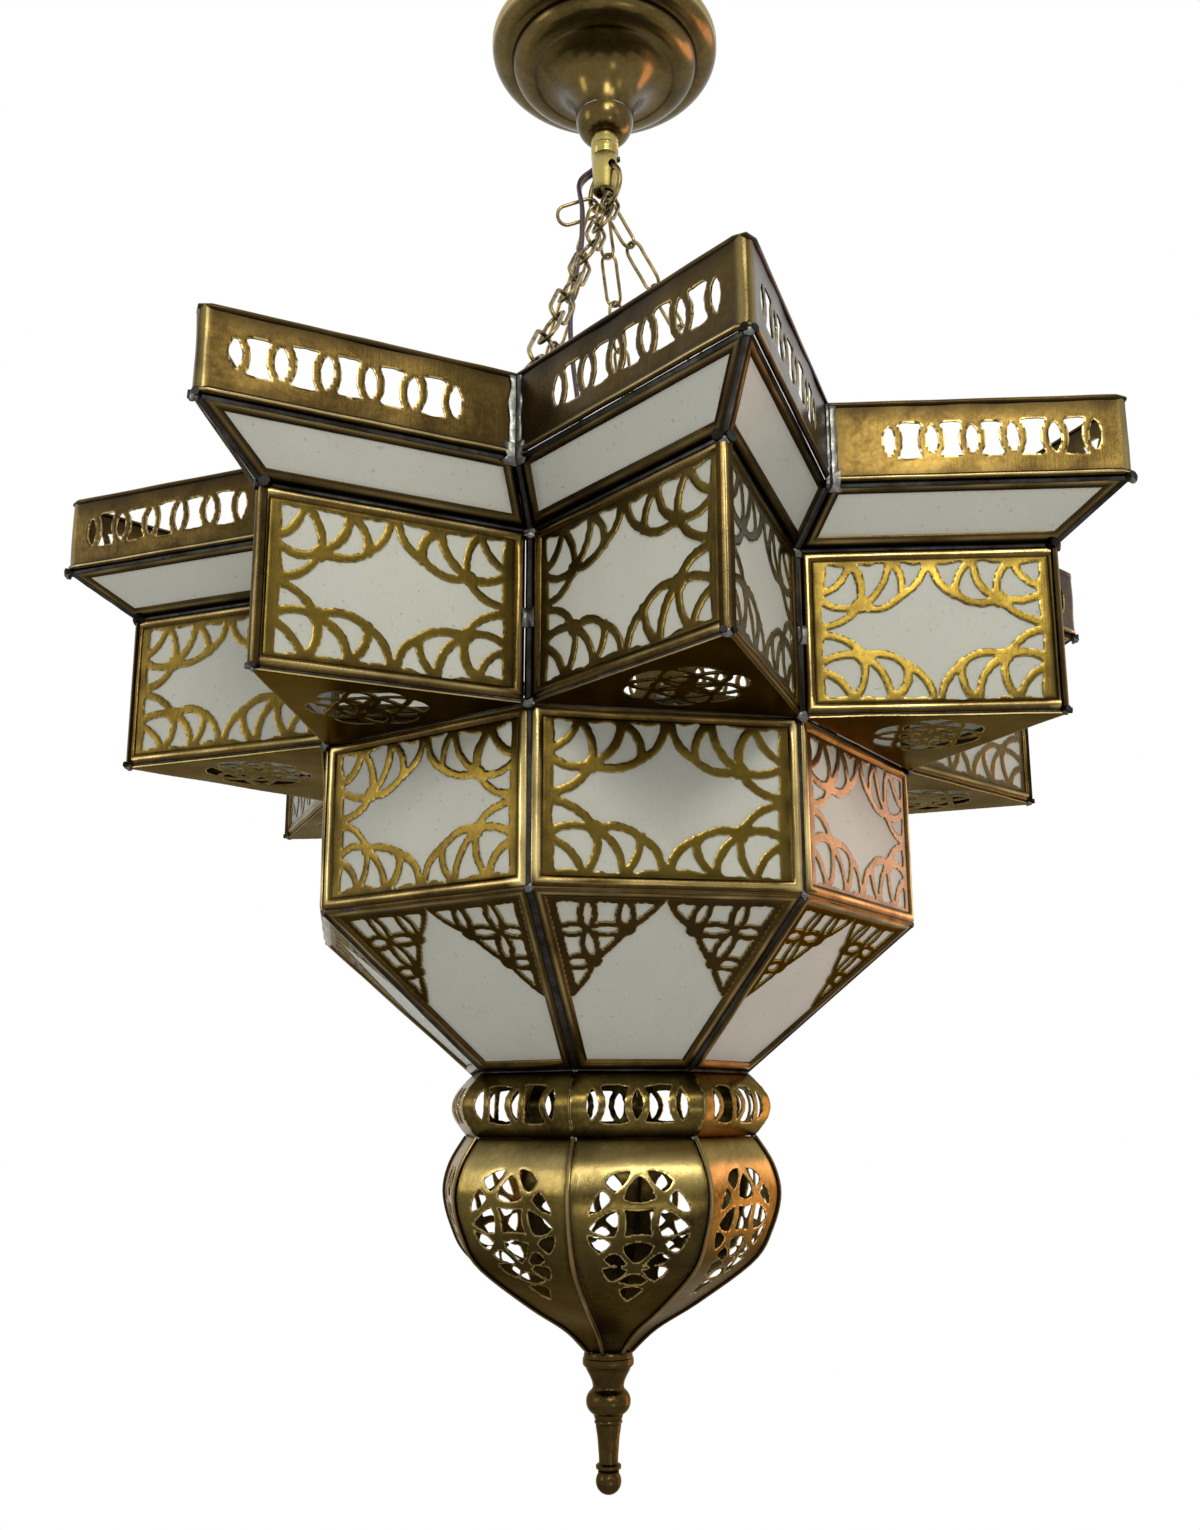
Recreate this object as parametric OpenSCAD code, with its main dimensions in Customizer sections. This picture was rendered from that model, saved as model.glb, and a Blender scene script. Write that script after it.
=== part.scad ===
// Star lantern of pierced brass and frosted glass, hung on chains from a ceiling rose
// The ceiling is the plane z = 0, +Z is up, and the first star point faces -Y
// Angles are counted from -Y towards +X, so a point at angle a is [r sin a, -r cos a]

/* [Ceiling rose] */
// Radius of the rose at the ceiling
rose_r = 68; // [60:1:80]
// Height of the upright lip at the rim of the rose
rose_lip_h = 3; // [1:0.5:6]
// Radius at the outer step of the rose
rose_step_1_r = 57; // [52:1:58]
// Radius at the inner step of the rose
rose_step_2_r = 43; // [36:1:48]
// Drop from the ceiling to the first step
rose_step_1_z = 12; // [9:0.5:15]
// Drop from the ceiling to the second step
rose_step_2_z = 21; // [18:0.5:26]
// Drop from the ceiling to the foot of the rose's flare
rose_h = 49; // [44:1:54]
// Radius at the foot of the rose's flare
rose_neck_r = 17.2; // [15:0.1:20]
// Thickness of the spun brass sheet
spun_t = 0.8; // [0.6:0.1:1.2]
// Width of the steel strap across the ceiling box
strap_w = 16; // [12:1:20]
// Length of the steel strap across the ceiling box
strap_l = 104; // [90:1:112]
// Distance between the two ceiling screws
screw_spacing = 84; // [70:1:90]
// Radius of each hole for a ceiling screw
screw_hole_r = 2.2; // [1.8:0.1:2.8]

/* [Stem and ring] */
// Height of the bowl below the rose
bowl_h = 13.5; // [11:0.5:16]
// Radius of the stem at its top
stem_top_r = 8.3; // [7.6:0.1:9]
// Radius of the stem at its open end
stem_end_r = 7; // [6.8:0.1:8]
// Length of the stem below the bowl
stem_l = 36.5; // [34:0.5:40]
// Radius of the bore through the stem
stem_bore_r = 5.2; // [5.2:0.1:5.6]
// Drop from the bowl's foot to the cross hole for the ring
cross_drop = 21.5; // [20:0.5:24]
// Direction of the cross hole round the stem, in degrees
cross_angle = 30; // [20:1:40]
// Outside diameter of the hanging ring
ring_d = 30; // [28:0.5:34]
// Wire thickness of the hanging ring
ring_wire = 3.2; // [2.6:0.1:3.6]

/* [Chains] */
// Number of links in each chain
chain_links = 10; // [8:2:12]
// Width of a chain link
link_w = 13; // [11:0.5:14]
// Wire thickness of a chain link
link_wire = 2.1; // [1.8:0.1:2.4]
// Length of the spare link
spare_link_l = 28; // [24:1:30]
// Width of the flat supply cord
cord_w = 5.4; // [4:0.2:5.6]
// Thickness of the flat supply cord
cord_t = 2.8; // [2.2:0.2:3]

/* [Gallery] */
// Drop from the ceiling to the top of the pierced gallery
gallery_top_z = 320; // [300:1:340]
// Height of the pierced gallery
gallery_h = 39; // [30:1:45]
// Radius of the gallery at its points
gallery_tip_r = 287; // [280:1:300]
// Thickness of the gallery's brass sheet
gallery_t = 1.2; // [1:0.1:1.6]
// Radius of the bead along the gallery's edges
bead_r = 1.6; // [1.3:0.1:2]

/* [Star] */
// Radius of the star's glazed walls at the points
star_tip_r = 250; // [235:1:265]
// Radius in the star's valleys as a share of the radius at its points
valley_share = 0.642; // [0.62:0.002:0.66]
// Height of the sloping glass band below the gallery
flare_h = 23.7; // [18:0.1:30]
// Height of the star's upright walls
wall_h = 78.3; // [65:0.1:90]
// Thickness of the pierced plates under the points
floor_t = 1; // [0.8:0.1:1.5]

/* [Drum, hopper and onion] */
// Radius of the eight-sided drum at its corners
drum_r = 160; // [150:1:161]
// Height of the drum
drum_h = 80.6; // [70:0.1:95]
// Height of the tapering hopper under the drum
hopper_h = 73; // [60:0.5:85]
// Radius of the hopper's foot at its corners
hopper_foot_r = 73.4; // [66:0.2:76]
// Height of the half-round collar
collar_h = 31; // [26:0.5:36]
// How far the collar stands out beyond the hopper's foot
collar_bulge = 9.5; // [7:0.5:12]
// Height of the onion from the collar to the ferrule
onion_h = 104; // [95:1:115]
// Radius of the onion at its widest corner
onion_r = 87; // [80:0.5:90]
// Radius of the onion's foot at its corners
onion_foot_r = 11.7; // [10:0.1:14]
// Thickness of the onion's and the collar's brass sheet
shell_t = 1; // [0.8:0.1:1.5]
// Width of the rib along each seam of the onion
rib_w = 2.2; // [1.8:0.1:3]

/* [Panels] */
// Width of the brass channel round each pane
came_w = 6; // [5:0.1:6.5]
// Depth of the brass channel from front to back
came_t = 5; // [4.6:0.1:6]
// Thickness of the channel's front lip
lip_t = 1; // [0.8:0.1:1.2]
// Thickness of the pierced brass plates
plate_t = 0.8; // [0.6:0.1:1]
// Thickness of the frosted glass
glass_t = 2.5; // [2:0.1:2.6]
// Half the width of the dark groove between two panels
seam = 1; // [0.6:0.1:1.4]
// Width of the pierced plates' bars
bar_w = 3; // [2.4:0.1:3.4]

/* [Finial] */
// Radius of the ferrule under the onion
ferrule_r = 12.8; // [12:0.1:14]
// Height of the ferrule
ferrule_h = 16.5; // [14:0.5:19]
// Radius of the finial's upper ball
ball_r = 11.1; // [10:0.1:12.5]
// Length of the finial below the ferrule
finial_h = 50; // [44:0.5:56]

/* [Lamp] */
// Width of the flat bar that carries the lampholder
bar_flat_w = 14; // [12:1:18]
// Thickness of that bar
bar_flat_t = 2; // [1.5:0.5:3]
// Radius of the lampholder
holder_r = 19.5; // [18:0.5:21]
// Height of the lampholder
holder_h = 48; // [42:1:54]
// Radius of the bulb
bulb_r = 30; // [25:1:32]

/* [Hidden] */

// Clearance between parts that touch on the real lantern
fit = 0.3;
// Gap on each side of a joint between two levels or two panels
gap = 0.15;
sides = 8;
step = 360 / sides;
half = step / 2;
brass = [0.62, 0.5, 0.24];
dark_brass = [0.4, 0.31, 0.15];
frosted = [0.8, 0.79, 0.75, 0.8];
flex_colour = [0.2, 0.13, 0.13];

// Levels, as drops from the ceiling
gallery_foot_z = gallery_top_z + gallery_h;
star_top_z = gallery_foot_z + flare_h;
star_foot_z = star_top_z + wall_h;
drum_foot_z = star_foot_z + drum_h;
hopper_foot_z = drum_foot_z + hopper_h;
collar_foot_z = hopper_foot_z + collar_h;
onion_foot_z = collar_foot_z + onion_h;
ferrule_foot_z = onion_foot_z + ferrule_h;
finial_foot_z = ferrule_foot_z + finial_h;
bowl_foot_z = rose_h + bowl_h;
stem_end_z = bowl_foot_z + stem_l;
cross_z = bowl_foot_z + cross_drop;
reach = 1.2 * finial_foot_z;

// Basic geometry
function unit(v) = v / norm(v);
function at(r, a, z) = [r * sin(a), -r * cos(a), z];
function left_of(v) = unit([-v.y, v.x]);
function corner_in(b, n1, n2, d1, d2) =
    let (c = n1 * n2)
    b + ((d1 - d2 * c) * n1 + (d2 - d1 * c) * n2) / (1 - c * c);

// Moves each edge of an outline inwards by its own distance
function inset(p, d) =
    let (n = len(p))
    [for (i = [0 : n - 1])
        corner_in(p[i], left_of(p[i] - p[(i + n - 1) % n]), left_of(p[(i + 1) % n] - p[i]),
            d[(i + n - 1) % n], d[i])];
function inset_all(p, d) = inset(p, [for (q = p) d]);

// The axes of a panel with the corners low left, low right, high right, high left
function axis_x(q) = unit(q[1] - q[0]);
function axis_z(q) = unit(cross(q[1] - q[0], q[3] - q[0]));
function axis_y(q) = cross(axis_z(q), axis_x(q));
function flat(q) = [for (p = q) [(p - q[0]) * axis_x(q), (p - q[0]) * axis_y(q)]];

module framed(x, y, z, o) {
    multmatrix([[x.x, y.x, z.x, o.x], [x.y, y.y, z.y, o.y], [x.z, y.z, z.z, o.z]]) children();
}

module on_panel(q) {
    framed(axis_x(q), axis_y(q), axis_z(q), q[0]) children();
}

// The space between two upright planes through the axis, each moved in by a distance
module sector(a1, a2, off) {
    mid = (a1 + a2) / 2;
    back = off / sin((a2 - a1) / 2);
    far = reach / cos((a2 - a1) / 2);
    translate([back * sin(mid), -back * cos(mid), -reach])
        linear_extrude(2 * reach)
            polygon([[0, 0], [far * sin(a1), -far * cos(a1)], [far * sin(a2), -far * cos(a2)]]);
}

// The space between two levels
module level(top, foot) {
    translate([-reach, -reach, -foot])
        cube([2 * reach, 2 * reach, foot - top]);
}

// The corners of a flat panel between two angles and two levels
function panel(r_foot_1, r_foot_2, r_top_1, r_top_2, a1, a2, foot, top) =
    [at(r_foot_1, a1, -foot), at(r_foot_2, a2, -foot), at(r_top_2, a2, -top), at(r_top_1, a1, -top)];

function star_r(i, tip) = i % 2 == 0 ? tip : tip * valley_share;
function star_panel(i, tip_foot, tip_top, foot, top) =
    panel(star_r(i, tip_foot), star_r(i + 1, tip_foot), star_r(i, tip_top), star_r(i + 1, tip_top),
        i * half, (i + 1) * half, foot, top);
function wall_panel(i) = star_panel(i, star_tip_r, star_tip_r, star_foot_z, star_top_z);
function flare_panel(i) =
    star_panel(i, star_tip_r, gallery_tip_r - bead_r, star_top_z, gallery_foot_z);
function drum_panel(k) =
    panel(drum_r, drum_r, drum_r, drum_r, k * step - half, k * step + half, drum_foot_z, star_foot_z);
function hopper_panel(k) =
    panel(hopper_foot_r, hopper_foot_r, drum_r, drum_r, k * step - half, k * step + half,
        hopper_foot_z, drum_foot_z);

// Insets of a panel's own edge, its window and the slot that holds the glass
function panel_edge(q) = inset(flat(q), [gap, seam, gap, seam]);
function window_edge(q) = inset_all(panel_edge(q), came_w);
slot_depth = 1.8;
function slot_edge(q) = inset_all(panel_edge(q), came_w - slot_depth);
slot_wall = 0.6;

// A brass channel round one pane
module frame_of(q, a1, a2, top, foot) {
    color(brass)
        difference() {
            intersection() {
                on_panel(q)
                    translate([0, 0, -came_t])
                        linear_extrude(came_t)
                            polygon(panel_edge(q));
                sector(a1, a2, gap);
                level(top + gap, foot - gap);
            }
            on_panel(q)
                translate([0, 0, -came_t - 1])
                    linear_extrude(came_t + 2)
                        polygon(window_edge(q));
            intersection() {
                on_panel(q)
                    translate([0, 0, -lip_t - plate_t - glass_t])
                        linear_extrude(plate_t + glass_t)
                            polygon(slot_edge(q));
                sector(a1, a2, gap + slot_wall);
                level(top + slot_wall, foot - slot_wall);
            }
        }
}

// A sheet that fills the slot of a panel between two depths
module sheet_of(q, a1, a2, top, foot, front, back) {
    intersection() {
        on_panel(q)
            translate([0, 0, -back])
                linear_extrude(back - front)
                    polygon(inset_all(slot_edge(q), gap));
        sector(a1, a2, 2 * gap + slot_wall);
        level(top + slot_wall + gap, foot - slot_wall - gap);
    }
}

module pane_of(q, a1, a2, top, foot, front) {
    color(frosted)
        sheet_of(q, a1, a2, top, foot, front, lip_t + plate_t + glass_t);
}

// One side of a pierced opening: it runs from a to b, bows away from the corner [0, 0]
// and lies half a bar inside the opening whose third corner is c
function away(a, b) =
    let (n = left_of(b - a))
    n * ((a + b) * n < 0 ? -1 : 1);
function inward(a, b, c) =
    let (n = left_of(b - a))
    n * ((c - a) * n < 0 ? -1 : 1);
bow_share = 0.13;
corner_share = 2.4;
function side_points(a, b, c, bow, edge) =
    let (l = norm(b - a), t0 = min(0.38, (edge * corner_share + 0.4) / l))
    [for (u = bow == 0 ? [0, 1] : [0, 0.5, 1])
        let (t = t0 + (1 - 2 * t0) * u)
        a + (b - a) * t + away(a, b) * bow * l * 4 * t * (1 - t) + inward(a, b, c) * edge];

// A three-cornered opening with bowed sides, each corner midway between the two sides' ends
function opening(a, b, c, bows, edges) =
    let (s = [side_points(a, b, c, bows[0], edges[0]), side_points(b, c, a, bows[1], edges[1]),
        side_points(c, a, b, bows[2], edges[2])])
    [for (i = [0 : 2])
        let (before = s[(i + 2) % 3])
        each len(s[i]) == 2 ? [(before[len(before) - 1] + s[i][0]) / 2]
            : [(before[len(before) - 1] + s[i][0]) / 2, s[i][1]]];
function bowed(a, b, c) =
    opening(a, b, c, [bow_share, bow_share, bow_share], [bar_w, bar_w, bar_w] / 2);

// The pierced corner of an upright pane, as shares of half its window
border_w = 1.6;
function fret_node(i, w, h) =
    [[0, 0.46 * h], [0.29 * w, 0], [0.4 * w, 0.6 * h], [0.63 * w, 0], [0.775 * w, 0.48 * h],
        [w - bar_w / 2 - 0.5, 0], [0, h - bar_w / 2 - 0.5]][i];
fret_triples = [[0, 2, 1], [1, 2, 3], [3, 2, 4], [3, 4, 5], [0, 6, 2]];
fret_bows = [[1, 1, 1], [1, 1, 0], [1, 1, 1], [1, 1, 0], [0, 1, 1]];
function fret_bow(k) = fret_bows[k] * bow_share;
function fret_edges(k) = [for (b = fret_bows[k]) b == 0 ? border_w : bar_w / 2];
function fret_opening(k, w, h) =
    let (t = fret_triples[k])
    opening(fret_node(t[0], w, h), fret_node(t[1], w, h), fret_node(t[2], w, h),
        fret_bow(k), fret_edges(k));
function fret_corner(w, h) =
    opening([0, 0], fret_node(0, w, h), fret_node(1, w, h), [0, bow_share, 0],
        [border_w, bar_w / 2, border_w]);
function scallop(a, b, bow = bow_share) =
    let (l = norm(b - a))
    [for (t = [0.06, 0.5, 0.94])
        a + (b - a) * t + away(a, b) * (bow * l * 4 * t * (1 - t) + bar_w / 2)];
function fret_lobes(w, h) =
    concat(scallop(fret_node(6, w, h), fret_node(2, w, h)),
        scallop(fret_node(2, w, h), fret_node(4, w, h)),
        scallop(fret_node(4, w, h), fret_node(5, w, h)));
function flipped(p) = [for (i = [len(p) - 1 : -1 : 0]) p[i]];
function placed(p, w, h, sx, sy) = [for (q = p) [w + sx * (q.x - w), h + sy * (q.y - h)]];
function cartouche(w, h) =
    concat([[border_w, h]], placed(fret_lobes(w, h), w, h, 1, 1),
        [[w, border_w]], flipped(placed(fret_lobes(w, h), w, h, -1, 1)),
        [[2 * w - border_w, h]], placed(fret_lobes(w, h), w, h, -1, -1),
        [[w, 2 * h - border_w]], flipped(placed(fret_lobes(w, h), w, h, 1, -1)));

module fret_openings(w, h) {
    polygon(cartouche(w, h));
    for (sx = [-1, 1], sy = [-1, 1])
        polygon(placed(fret_corner(w, h), w, h, sx, sy));
    for (sx = [-1, 1], sy = [-1, 1], k = [0 : len(fret_triples) - 1])
        polygon(placed(fret_opening(k, w, h), w, h, sx, sy));
}

// The pierced plate in front of an upright pane
plate_hold = 0.4;

module fretwork_of(q) {
    win = window_edge(q);
    w = (win[1].x - win[0].x) / 2;
    h = (win[3].y - win[0].y) / 2;
    color(brass)
        on_panel(q)
            translate([0, 0, -lip_t - plate_t])
                linear_extrude(plate_t)
                    difference() {
                        polygon(inset_all(panel_edge(q), came_w - plate_hold));
                        translate([win[0].x, win[0].y])
                            fret_openings(w, h);
                    }
}

// Star points: the two walls of point k are the panels 2k - 1 and 2k
function walls_of(k) = [2 * k - 1, 2 * k];
function wrapped(i) = (i + 2 * sides) % (2 * sides);

module point_frames(k) {
    for (i = walls_of(k))
        frame_of(wall_panel(wrapped(i)), i * half, (i + 1) * half, star_top_z, star_foot_z);
}

module point_glass(k) {
    for (i = walls_of(k))
        pane_of(wall_panel(wrapped(i)), i * half, (i + 1) * half, star_top_z, star_foot_z,
            lip_t + plate_t);
}

module point_fretwork(k) {
    for (i = walls_of(k))
        fretwork_of(wall_panel(wrapped(i)));
}

module flare_frames() {
    for (i = [0 : 2 * sides - 1])
        frame_of(flare_panel(i), i * half, (i + 1) * half, gallery_foot_z, star_top_z);
}

module flare_glass() {
    for (i = [0 : 2 * sides - 1])
        pane_of(flare_panel(i), i * half, (i + 1) * half, gallery_foot_z, star_top_z, lip_t);
}

module drum_frames() {
    for (k = [0 : sides - 1])
        frame_of(drum_panel(k), k * step - half, k * step + half, star_foot_z, drum_foot_z);
}

module drum_glass() {
    for (k = [0 : sides - 1])
        pane_of(drum_panel(k), k * step - half, k * step + half, star_foot_z, drum_foot_z,
            lip_t + plate_t);
}

module drum_fretwork() {
    for (k = [0 : sides - 1])
        fretwork_of(drum_panel(k));
}

module hopper_frames() {
    for (k = [0 : sides - 1])
        frame_of(hopper_panel(k), k * step - half, k * step + half, drum_foot_z, hopper_foot_z);
}

module hopper_glass() {
    for (k = [0 : sides - 1])
        pane_of(hopper_panel(k), k * step - half, k * step + half, drum_foot_z, hopper_foot_z,
            lip_t + plate_t);
}

// The pierced gusset in each upper corner of a hopper pane: three rows of overlapping circles
// Its nodes are shares of its legs, which run along the top and down the side
gusset_top_share = 0.48;
gusset_side_share = 0.57;
gusset_nodes = [[0, 0], [1 / 3, 0], [2 / 3, 0], [1, 0], [0, 1 / 3], [0, 2 / 3], [0, 1], [0.29, 0.31],
    [0.63, 0.31], [0.27, 0.64]];
gusset_lenses = [[1, 7], [2, 8], [4, 7], [7, 8], [7, 9], [5, 9]];
gusset_cells = [[0, 4, 7, 1], [1, 7, 8, 2], [4, 5, 9, 7], [2, 8, 3], [7, 9, 8], [5, 6, 9]];
gusset_pulls = [[0, 1, 1, 0], [1, 1, 1, 0], [0, 1, 1, 1], [1, 0, 0], [1, 0, 1], [0, 0, 1]];
gusset_lens_w = 1.8;
gusset_bow = 0.05;
gusset_knob = 3.4;
cell_inset = 0.6 * bar_w;

function lens_between(a, b) =
    let (m = (a + b) / 2, d = 0.37 * (b - a), n = gusset_lens_w * left_of(b - a))
    concat([for (t = [-1 : 0.5 : 0.5]) m + d * t + n * (1 - t * t)],
        [for (t = [1 : -0.5 : -0.5]) m + d * t - n * (1 - t * t)]);

// An opening between the bars, its marked sides pressed in by the circles beside it
function cell(p, pulls) =
    let (n = len(p), q = inset_all(p, cell_inset), pull = gusset_lens_w + bar_w - cell_inset)
    [for (i = [0 : n - 1])
        let (next = q[(i + 1) % n])
        each pulls[i] == 0 ? [q[i]] : [q[i], (q[i] + next) / 2 + left_of(next - q[i]) * pull]];

module gusset(q, s) {
    win = window_edge(q);
    middle = (win[2].x + win[3].x) / 2;
    along = gusset_top_share * (win[2] - win[3]);
    down = gusset_side_share * (win[0] - win[3]);
    p = [for (g = gusset_nodes) g.x * along + g.y * down];
    tongue = 1.2;
    outline = concat([-unit(along) * tongue - unit(down) * tongue, p[6] - unit(along) * tongue],
        scallop(p[6], p[9], gusset_bow), [p[9] + unit(p[9]) * gusset_knob],
        scallop(p[9], p[8], gusset_bow), [p[8] + unit(p[8]) * gusset_knob],
        scallop(p[8], p[3], gusset_bow), [p[3] - unit(down) * tongue]);
    on_panel(q)
        translate([middle, 0, -lip_t - plate_t])
            mirror([s < 0 ? 0 : 1, 0, 0])
                translate([win[3].x - middle, win[3].y, 0])
                    linear_extrude(plate_t)
                        difference() {
                            polygon(outline);
                            for (l = gusset_lenses)
                                polygon(lens_between(p[l[0]], p[l[1]]));
                            for (c = [0 : len(gusset_cells) - 1])
                                polygon(cell([for (j = gusset_cells[c]) p[j]], gusset_pulls[c]));
                        }
}

module hopper_fretwork() {
    color(brass)
        for (k = [0 : sides - 1], s = [-1, 1])
            gusset(hopper_panel(k), s);
}

// Gallery: a folded band round each point, pierced with a row of overlapping circles
fold_r = 3;
gallery_tip = [0, -gallery_tip_r];
gallery_valley = gallery_tip_r * valley_share * [sin(half), -cos(half)];
gallery_run = unit(gallery_valley - gallery_tip);
gallery_out = [-gallery_run.y, gallery_run.x] * -1;
gallery_l = norm(gallery_valley - gallery_tip);
fold_centre = [0, gallery_tip.y + fold_r / gallery_out.y * -1];
fold_sweep = 90 - atan2(gallery_run.x, gallery_run.y);

// One side of a folded band, a distance outside the fold's own face
function band_edge(o) =
    let (end = gallery_valley + gallery_out * o + gallery_run * 6)
    concat([[-end.x, end.y]],
        [for (i = [-2 : 2]) let (a = fold_sweep * i / 2)
            fold_centre + (fold_r + o) * [sin(a), -cos(a)]],
        [end]);

module band(o, t, top, foot) {
    translate([0, 0, -foot])
        linear_extrude(foot - top)
            polygon(concat(band_edge(o), flipped(band_edge(o - t))));
}

row_start_share = 0.135;
row_end_share = 0.8;
lens_count = 6;
lens_pitch = gallery_l * (row_end_share - row_start_share) / (lens_count - 1);
lens_half_h = 0.195 * gallery_h;
lens_half_w = 2.7;
dome_h = 1.4;

// A pointed upright lens
function lens(x, h, w) =
    concat([[x, -h]], [for (i = [-1, 0, 1]) [x + w * (1 - i * i / 3), h * i * 0.55]],
        [[x, h]], [for (i = [1, 0, -1]) [x - w * (1 - i * i / 3), h * i * 0.55]]);

// The wide opening between two lenses, drawn in at its waist
function wide_opening(x, h, waist, shoulder) =
    concat([for (i = [-1 : 1]) [x + waist + (shoulder - waist) * i * i, h * i]], [[x, h + dome_h]],
        [for (i = [1 : -1 : -1]) [x - waist - (shoulder - waist) * i * i, h * i]],
        [[x, -h - dome_h]]);

module gallery_piercing() {
    waist = lens_pitch / 2 - lens_half_w - bar_w;
    shoulder = (lens_pitch - bar_w) / 2 - fit;
    for (i = [0 : lens_count - 1])
        polygon(lens(i * lens_pitch, lens_half_h, lens_half_w));
    for (i = [0 : lens_count - 2])
        polygon(wide_opening((i + 0.5) * lens_pitch, lens_half_h - fit, waist, shoulder));
}

function gallery_panel(i) = star_panel(i, gallery_tip_r, gallery_tip_r, gallery_foot_z, gallery_top_z);

// The two walls of each point's band, which meet at the fold
module gallery() {
    color(brass)
        for (k = [0 : sides - 1], i = walls_of(k))
            difference() {
                intersection() {
                    rotate([0, 0, k * step])
                        union() {
                            band(0, gallery_t, gallery_top_z, gallery_foot_z - gap);
                            band(bead_r / 2, 2 * bead_r, gallery_top_z, gallery_top_z + 2 * bead_r);
                            band(bead_r / 2, 2 * bead_r, gallery_foot_z - gap - 2 * bead_r,
                                gallery_foot_z - gap);
                        }
                    sector(i * half, (i + 1) * half, gap);
                }
                on_panel(gallery_panel(wrapped(i)))
                    translate([i % 2 == 0 ? gallery_l : 0, gallery_h / 2, -2 * gallery_t])
                        mirror([i % 2 == 0 ? 1 : 0, 0, 0])
                            translate([gallery_l * row_start_share, 0, 0])
                                linear_extrude(3 * gallery_t)
                                    gallery_piercing();
            }
}

function sided(p, s) = [s * p.x, p.y];

// Floors of the star points, each pierced with a flower of overlapping circles
petal_l = 0.06 * star_tip_r;
petal_half_w = 2.6;
outer_leaf = petal_l * [[-0.6, 0.53], [0.6, 0.53], [0, -0.93]];
side_leaf = petal_l * [[-0.6, -0.6], [0.8, 0.47], [-0.6, 0.4]];

module point_floors() {
    drum_face = drum_r * cos(half);
    middle = (star_tip_r + 2 * star_tip_r * valley_share * cos(half)) / 3;
    outline = inset_all([at(star_tip_r, 0, 0), at(star_tip_r * valley_share, half, 0),
        at(star_tip_r * valley_share, -half, 0)], seam);
    color(brass)
        translate([0, 0, -star_foot_z - gap - floor_t])
            for (k = [0 : sides - 1])
                rotate([0, 0, k * step])
                    linear_extrude(floor_t)
                        difference() {
                            polygon([for (c = outline) [c.x, min(c.y, -drum_face - fit)]]);
                            translate([0, -middle])
                                for (a = [0 : 60 : 300])
                                    rotate(a)
                                        translate([0, petal_l / 2])
                                            polygon(lens(0, 0.43 * petal_l, petal_half_w));
                            translate([0, -middle - 2 * petal_l])
                                polygon(bowed(outer_leaf[0], outer_leaf[1], outer_leaf[2]));
                            for (s = [-1, 1])
                                translate([s * 1.6 * petal_l, -middle + 0.7 * petal_l])
                                    polygon(bowed(sided(side_leaf[0], s), sided(side_leaf[1], s),
                                        sided(side_leaf[2], s)));
                        }
}

// Collar and onion: each facet is a bent strip between two seams, seen here in section
function curve(p, t) =
    let (n = len(p) - 1, i = min(floor(t * n), n - 1), u = t * n - i,
        a = p[max(i - 1, 0)], b = p[i], c = p[i + 1], d = p[min(i + 2, n)])
    0.5 * (2 * b + (c - a) * u + (2 * a - 5 * b + 4 * c - d) * u * u
        + (3 * b - a - 3 * c + d) * u * u * u);
function smooth(p, n) = [for (i = [0 : n]) curve(p, i / n)];
collar_foot_r = hopper_foot_r + 2.3;
collar_steps = 8;
collar_profile = [for (i = [0 : collar_steps])
    let (t = i / collar_steps)
    [hopper_foot_r * (1 - t) + collar_foot_r * t + collar_bulge * sin(180 * t),
        hopper_foot_z + gap + (collar_h - 2 * gap) * t]];
onion_profile = smooth([[collar_foot_r, 0], [onion_r - 3, 0.13], [onion_r, 0.27], [onion_r - 4.5, 0.43],
    [0.84 * onion_r, 0.575], [0.525 * onion_r, 0.765], [0.28 * onion_r, 0.89], [onion_foot_r, 1]], 12);
function onion_at(i) = [onion_profile[i].x, collar_foot_z + gap + onion_profile[i].y * (onion_h - 2 * gap)];
onion_section = [for (i = [0 : len(onion_profile) - 1]) onion_at(i)];

// The curve moved inwards by a distance, along its own normals
function moved_in(p, d) =
    [for (i = [0 : len(p) - 1])
        let (run = unit(p[min(i + 1, len(p) - 1)] - p[max(i - 1, 0)]))
        p[i] + d * [-run.y, run.x]];
function facet_section(p) = [for (q = p) [-q.x * cos(half), -q.y]];
function seam_section(p) = [for (q = p) [-q.x, -q.y]];

// Extrudes an outline in [depth, height] sideways, centred on the -Y side
module sideways(l) {
    rotate([90, 0, 90])
        translate([0, 0, -l / 2])
            linear_extrude(l)
                children();
}

module facet_shell(p, off) {
    intersection() {
        sideways(2 * drum_r)
            polygon(concat(facet_section(p), flipped(facet_section(moved_in(p, shell_t)))));
        sector(-half, half, off);
    }
}

// Openings of a collar facet: half a lens's height and width, and the same of a wide opening
collar_pitch = 0.286 * hopper_foot_r;
collar_lens_half_h = 0.245 * collar_h;
collar_lens_half_w = 2.8;
collar_wide_half_h = collar_lens_half_h - fit;
collar_waist = 4.4;
collar_shoulder = 7;

module collar() {
    middle = hopper_foot_z + collar_h / 2;
    color(brass)
        for (k = [0 : sides - 1])
            rotate([0, 0, k * step])
                difference() {
                    facet_shell(collar_profile, gap);
                    translate([0, 0, -middle])
                        rotate([90, 0, 0])
                            linear_extrude(reach) {
                                for (i = [-1 : 1])
                                    polygon(lens(i * collar_pitch, collar_lens_half_h,
                                        collar_lens_half_w));
                                for (i = [-0.5, 0.5])
                                    polygon(wide_opening(i * collar_pitch, collar_wide_half_h,
                                        collar_waist, collar_shoulder));
                            }
                }
}

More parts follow.
